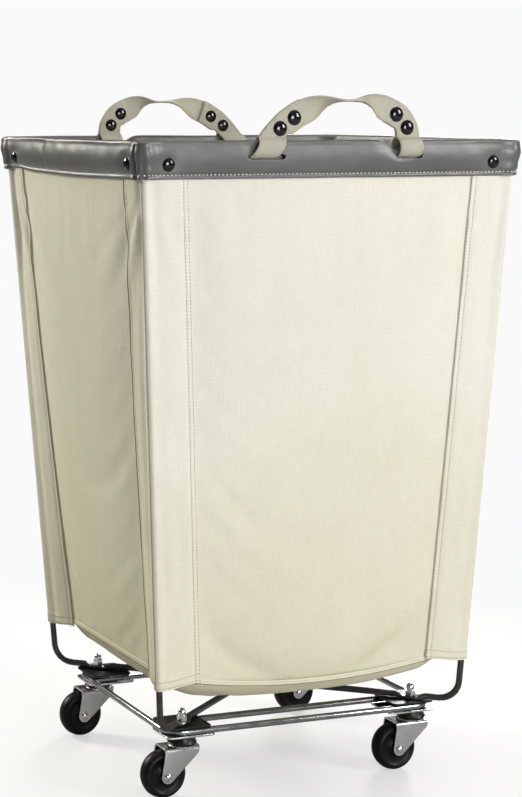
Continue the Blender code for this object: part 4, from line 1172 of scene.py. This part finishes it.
def dress(prefix, finish, bevel=0.0, sharp=35):
    """Gives a CAD node its finish, smooth shading and small rounded edges."""
    for name, obj in frame["nodes"].items():
        if not name.startswith(prefix):
            continue
        obj.data.materials.clear()
        obj.data.materials.append(finish)
        obj.data.shade_smooth()
        if "custom_normal" in obj.data.attributes:
            obj.data.attributes.remove(obj.data.attributes["custom_normal"])
        modifier(obj, "WELD", merge_threshold=WELD_WITHIN)
        if bevel:
            modifier(obj, "DECIMATE", decimate_type="DISSOLVE", angle_limit=radians(FLAT_WITHIN))
            modifier(obj, "BEVEL", width=bevel, segments=2, limit_method="ANGLE",
                     angle_limit=radians(sharp), harden_normals=True)
        else:
            modifier(obj, "EDGE_SPLIT", split_angle=radians(sharp))


def dress_frame():
    dress("cross_rod_", RODS, sharp=50)
    dress("base_frame", BRIGHT, sharp=60)
    dress("top_plate_", BLACK, 0.0004)
    dress("low_plate_", ZINC, 0.0004)
    dress("swivel_stem_", BLACK, sharp=40)
    dress("acorn_nut_", CHROME, sharp=40)
    dress("caster_fork_", ZINC, 0.0003, 40)
    dress("axle_rivet_", CHROME, sharp=50)
    dress("rim_rivet_", RIVET, sharp=60)
    dress("handle_rivet_", RIVET, sharp=60)


# ---- studio ----
FLOOR_BOUNCE = 0.38  # how pale the floor is to light that bounces off it
FLOOR_SHEEN = 0.4  # and in the reflections of polished metal
BACKDROP = (0.955, 0.955, 0.955)
SOFT_STOPS = ((0.0, 0.5), (0.47, 0.42), (0.53, 0.05), (0.66, 0.06), (0.8, 0.45), (1.0, 0.8))
SOFT_LEVEL = 0.5
LIGHTS = (  # name, place, aim, size, watts, colour
    ("key_light", (2.35, -2.35, 1.6), (0, 0, 0.42), (0.8, 1.2), 56, (1.0, 0.99, 0.965)),
    ("front_light", (0.1, -3.6, 0.8), (0, 0, 0.36), (1.2, 1.0), 65, (1.0, 0.99, 0.975)),
    ("left_light", (-1.5, 1.9, 1.55), (-0.1, 0, 0.42), (0.8, 0.8), 58, (1.0, 0.965, 0.87)),
    ("back_light", (1.9, 2.0, 1.3), (0.1, 0, 0.4), (0.8, 0.8), 46, (1.0, 0.99, 0.97)),
    ("top_light", (0.0, 0.2, 2.6), (0, 0, 0.3), (1.8, 1.4), 14, (1.0, 1.0, 1.0)),
)


def floor_finish():
    """Pale floor that fades into the backdrop and sends little light back up."""
    f = Finish("studio_floor")
    length = f.node("VectorMath", {0: f.where}, operation="LENGTH").outputs["Value"]
    mist = f.noise(f.where, 3.0, 3.0)
    base = f.mix(f.ramp(mist, 0.3, 0.7), (0.86, 0.86, 0.86), (0.9, 0.9, 0.9))
    f.done(Base_Color=base, Roughness=0.6, Specular_IOR_Level=0.2,
           Normal=f.bumped(f.noise(f.where, 400.0), 0.0002, 0.3))
    glow = f.node("Emission", {"Color": BACKDROP, "Strength": 1.0})
    fade = f.ramp(length, 0.15, 0.8, 0.55, 1.0)
    shown = f.node("MixShader", {0: fade, 1: f.shader, 2: glow})
    path = f.node("LightPath").outputs
    pale = f.ramp(path["Is Glossy Ray"], 0.0, 1.0, FLOOR_BOUNCE, FLOOR_SHEEN)
    bounce = f.node("BsdfDiffuse", {"Color": pale})
    both = f.node("MixShader", {0: path["Is Camera Ray"], 1: bounce, 2: shown})
    f.plug(f.tree.nodes["Material Output"].inputs[0], both)
    return f.made


def build_world():
    """Even pale backdrop for the camera; a soft studio with dark flags for the lighting."""
    world = bpy.data.worlds.new("studio")
    bpy.context.scene.world = world
    w = Nodes(world)
    seen = w.tree.nodes["Background"]
    w.plug(seen.inputs[0], BACKDROP)
    around = w.node("TexCoord").outputs["Generated"]
    up = w.node("SeparateXYZ", {0: around}).outputs[2]
    stops = w.node("ValToRGB", {0: w.ramp(up, -1.0, 1.0)})
    colours = stops.color_ramp.elements
    for k, (at, level) in enumerate(SOFT_STOPS):
        stop = colours[k] if k < 2 else colours.new(at)
        put(stop, position=at, color=(level, level, level * 0.99, 1))
    soft = w.node("Background", {0: stops, 1: SOFT_LEVEL})
    camera = w.node("LightPath").outputs["Is Camera Ray"]
    both = w.node("MixShader", {0: camera, 1: soft, 2: seen})
    w.plug(w.tree.nodes["World Output"].inputs[0], both)


def area_light(name, place, aim, size, watts, colour):
    data = put(bpy.data.lights.new(name, "AREA"), shape="RECTANGLE", size=size[0],
               size_y=size[1], energy=watts, color=colour)
    look_along(linked(name, data), place, Vector(aim) - Vector(place))


def build_studio():
    bpy.ops.mesh.primitive_circle_add(vertices=96, radius=14, fill_type="NGON",
                                      location=(0, 0, CAD_LOW.z))
    floor = put(bpy.context.object, name="studio_floor")
    floor.data.materials.append(floor_finish())
    build_world()
    for light in LIGHTS:
        area_light(*light)


# ---- camera ----
LENS_MM = 85.582
SENSOR_MM = 36.0
CAMERA_AT = (-1.0904, -1.9582, 0.7366)
CAMERA_YAW = -0.31666
CAMERA_PITCH = -0.01942
LENS_SHIFT = (0.47729, -0.40808)


def build_camera():
    """A view camera with a shifted lens. The shift applies only from this standpoint."""
    data = put(bpy.data.cameras.new("camera"), sensor_width=SENSOR_MM, lens=LENS_MM,
               clip_start=0.05, clip_end=60)
    ahead = Vector((-sin(CAMERA_YAW) * cos(CAMERA_PITCH),
                    cos(CAMERA_YAW) * cos(CAMERA_PITCH), -sin(CAMERA_PITCH)))
    cam = linked("camera", data)
    look_along(cam, CAMERA_AT, ahead)
    for path, value in zip(("shift_x", "shift_y"), LENS_SHIFT):
        driver = put(data.driver_add(path).driver, type="SCRIPTED")
        place = put(driver.variables.new(), name="x")
        put(place.targets[0], id=cam, data_path="location[0]")
        driver.expression = f"{value} if abs(x - ({CAMERA_AT[0]})) < 0.001 else 0.0"
    bpy.context.scene.camera = cam
    bpy.context.scene.view_settings.view_transform = "Standard"


# ---- assembly ----
build_shell()
build_bottom_seam()
build_strips()
build_band()
build_handles()
build_wheels()
dress_frame()
build_studio()
build_camera()
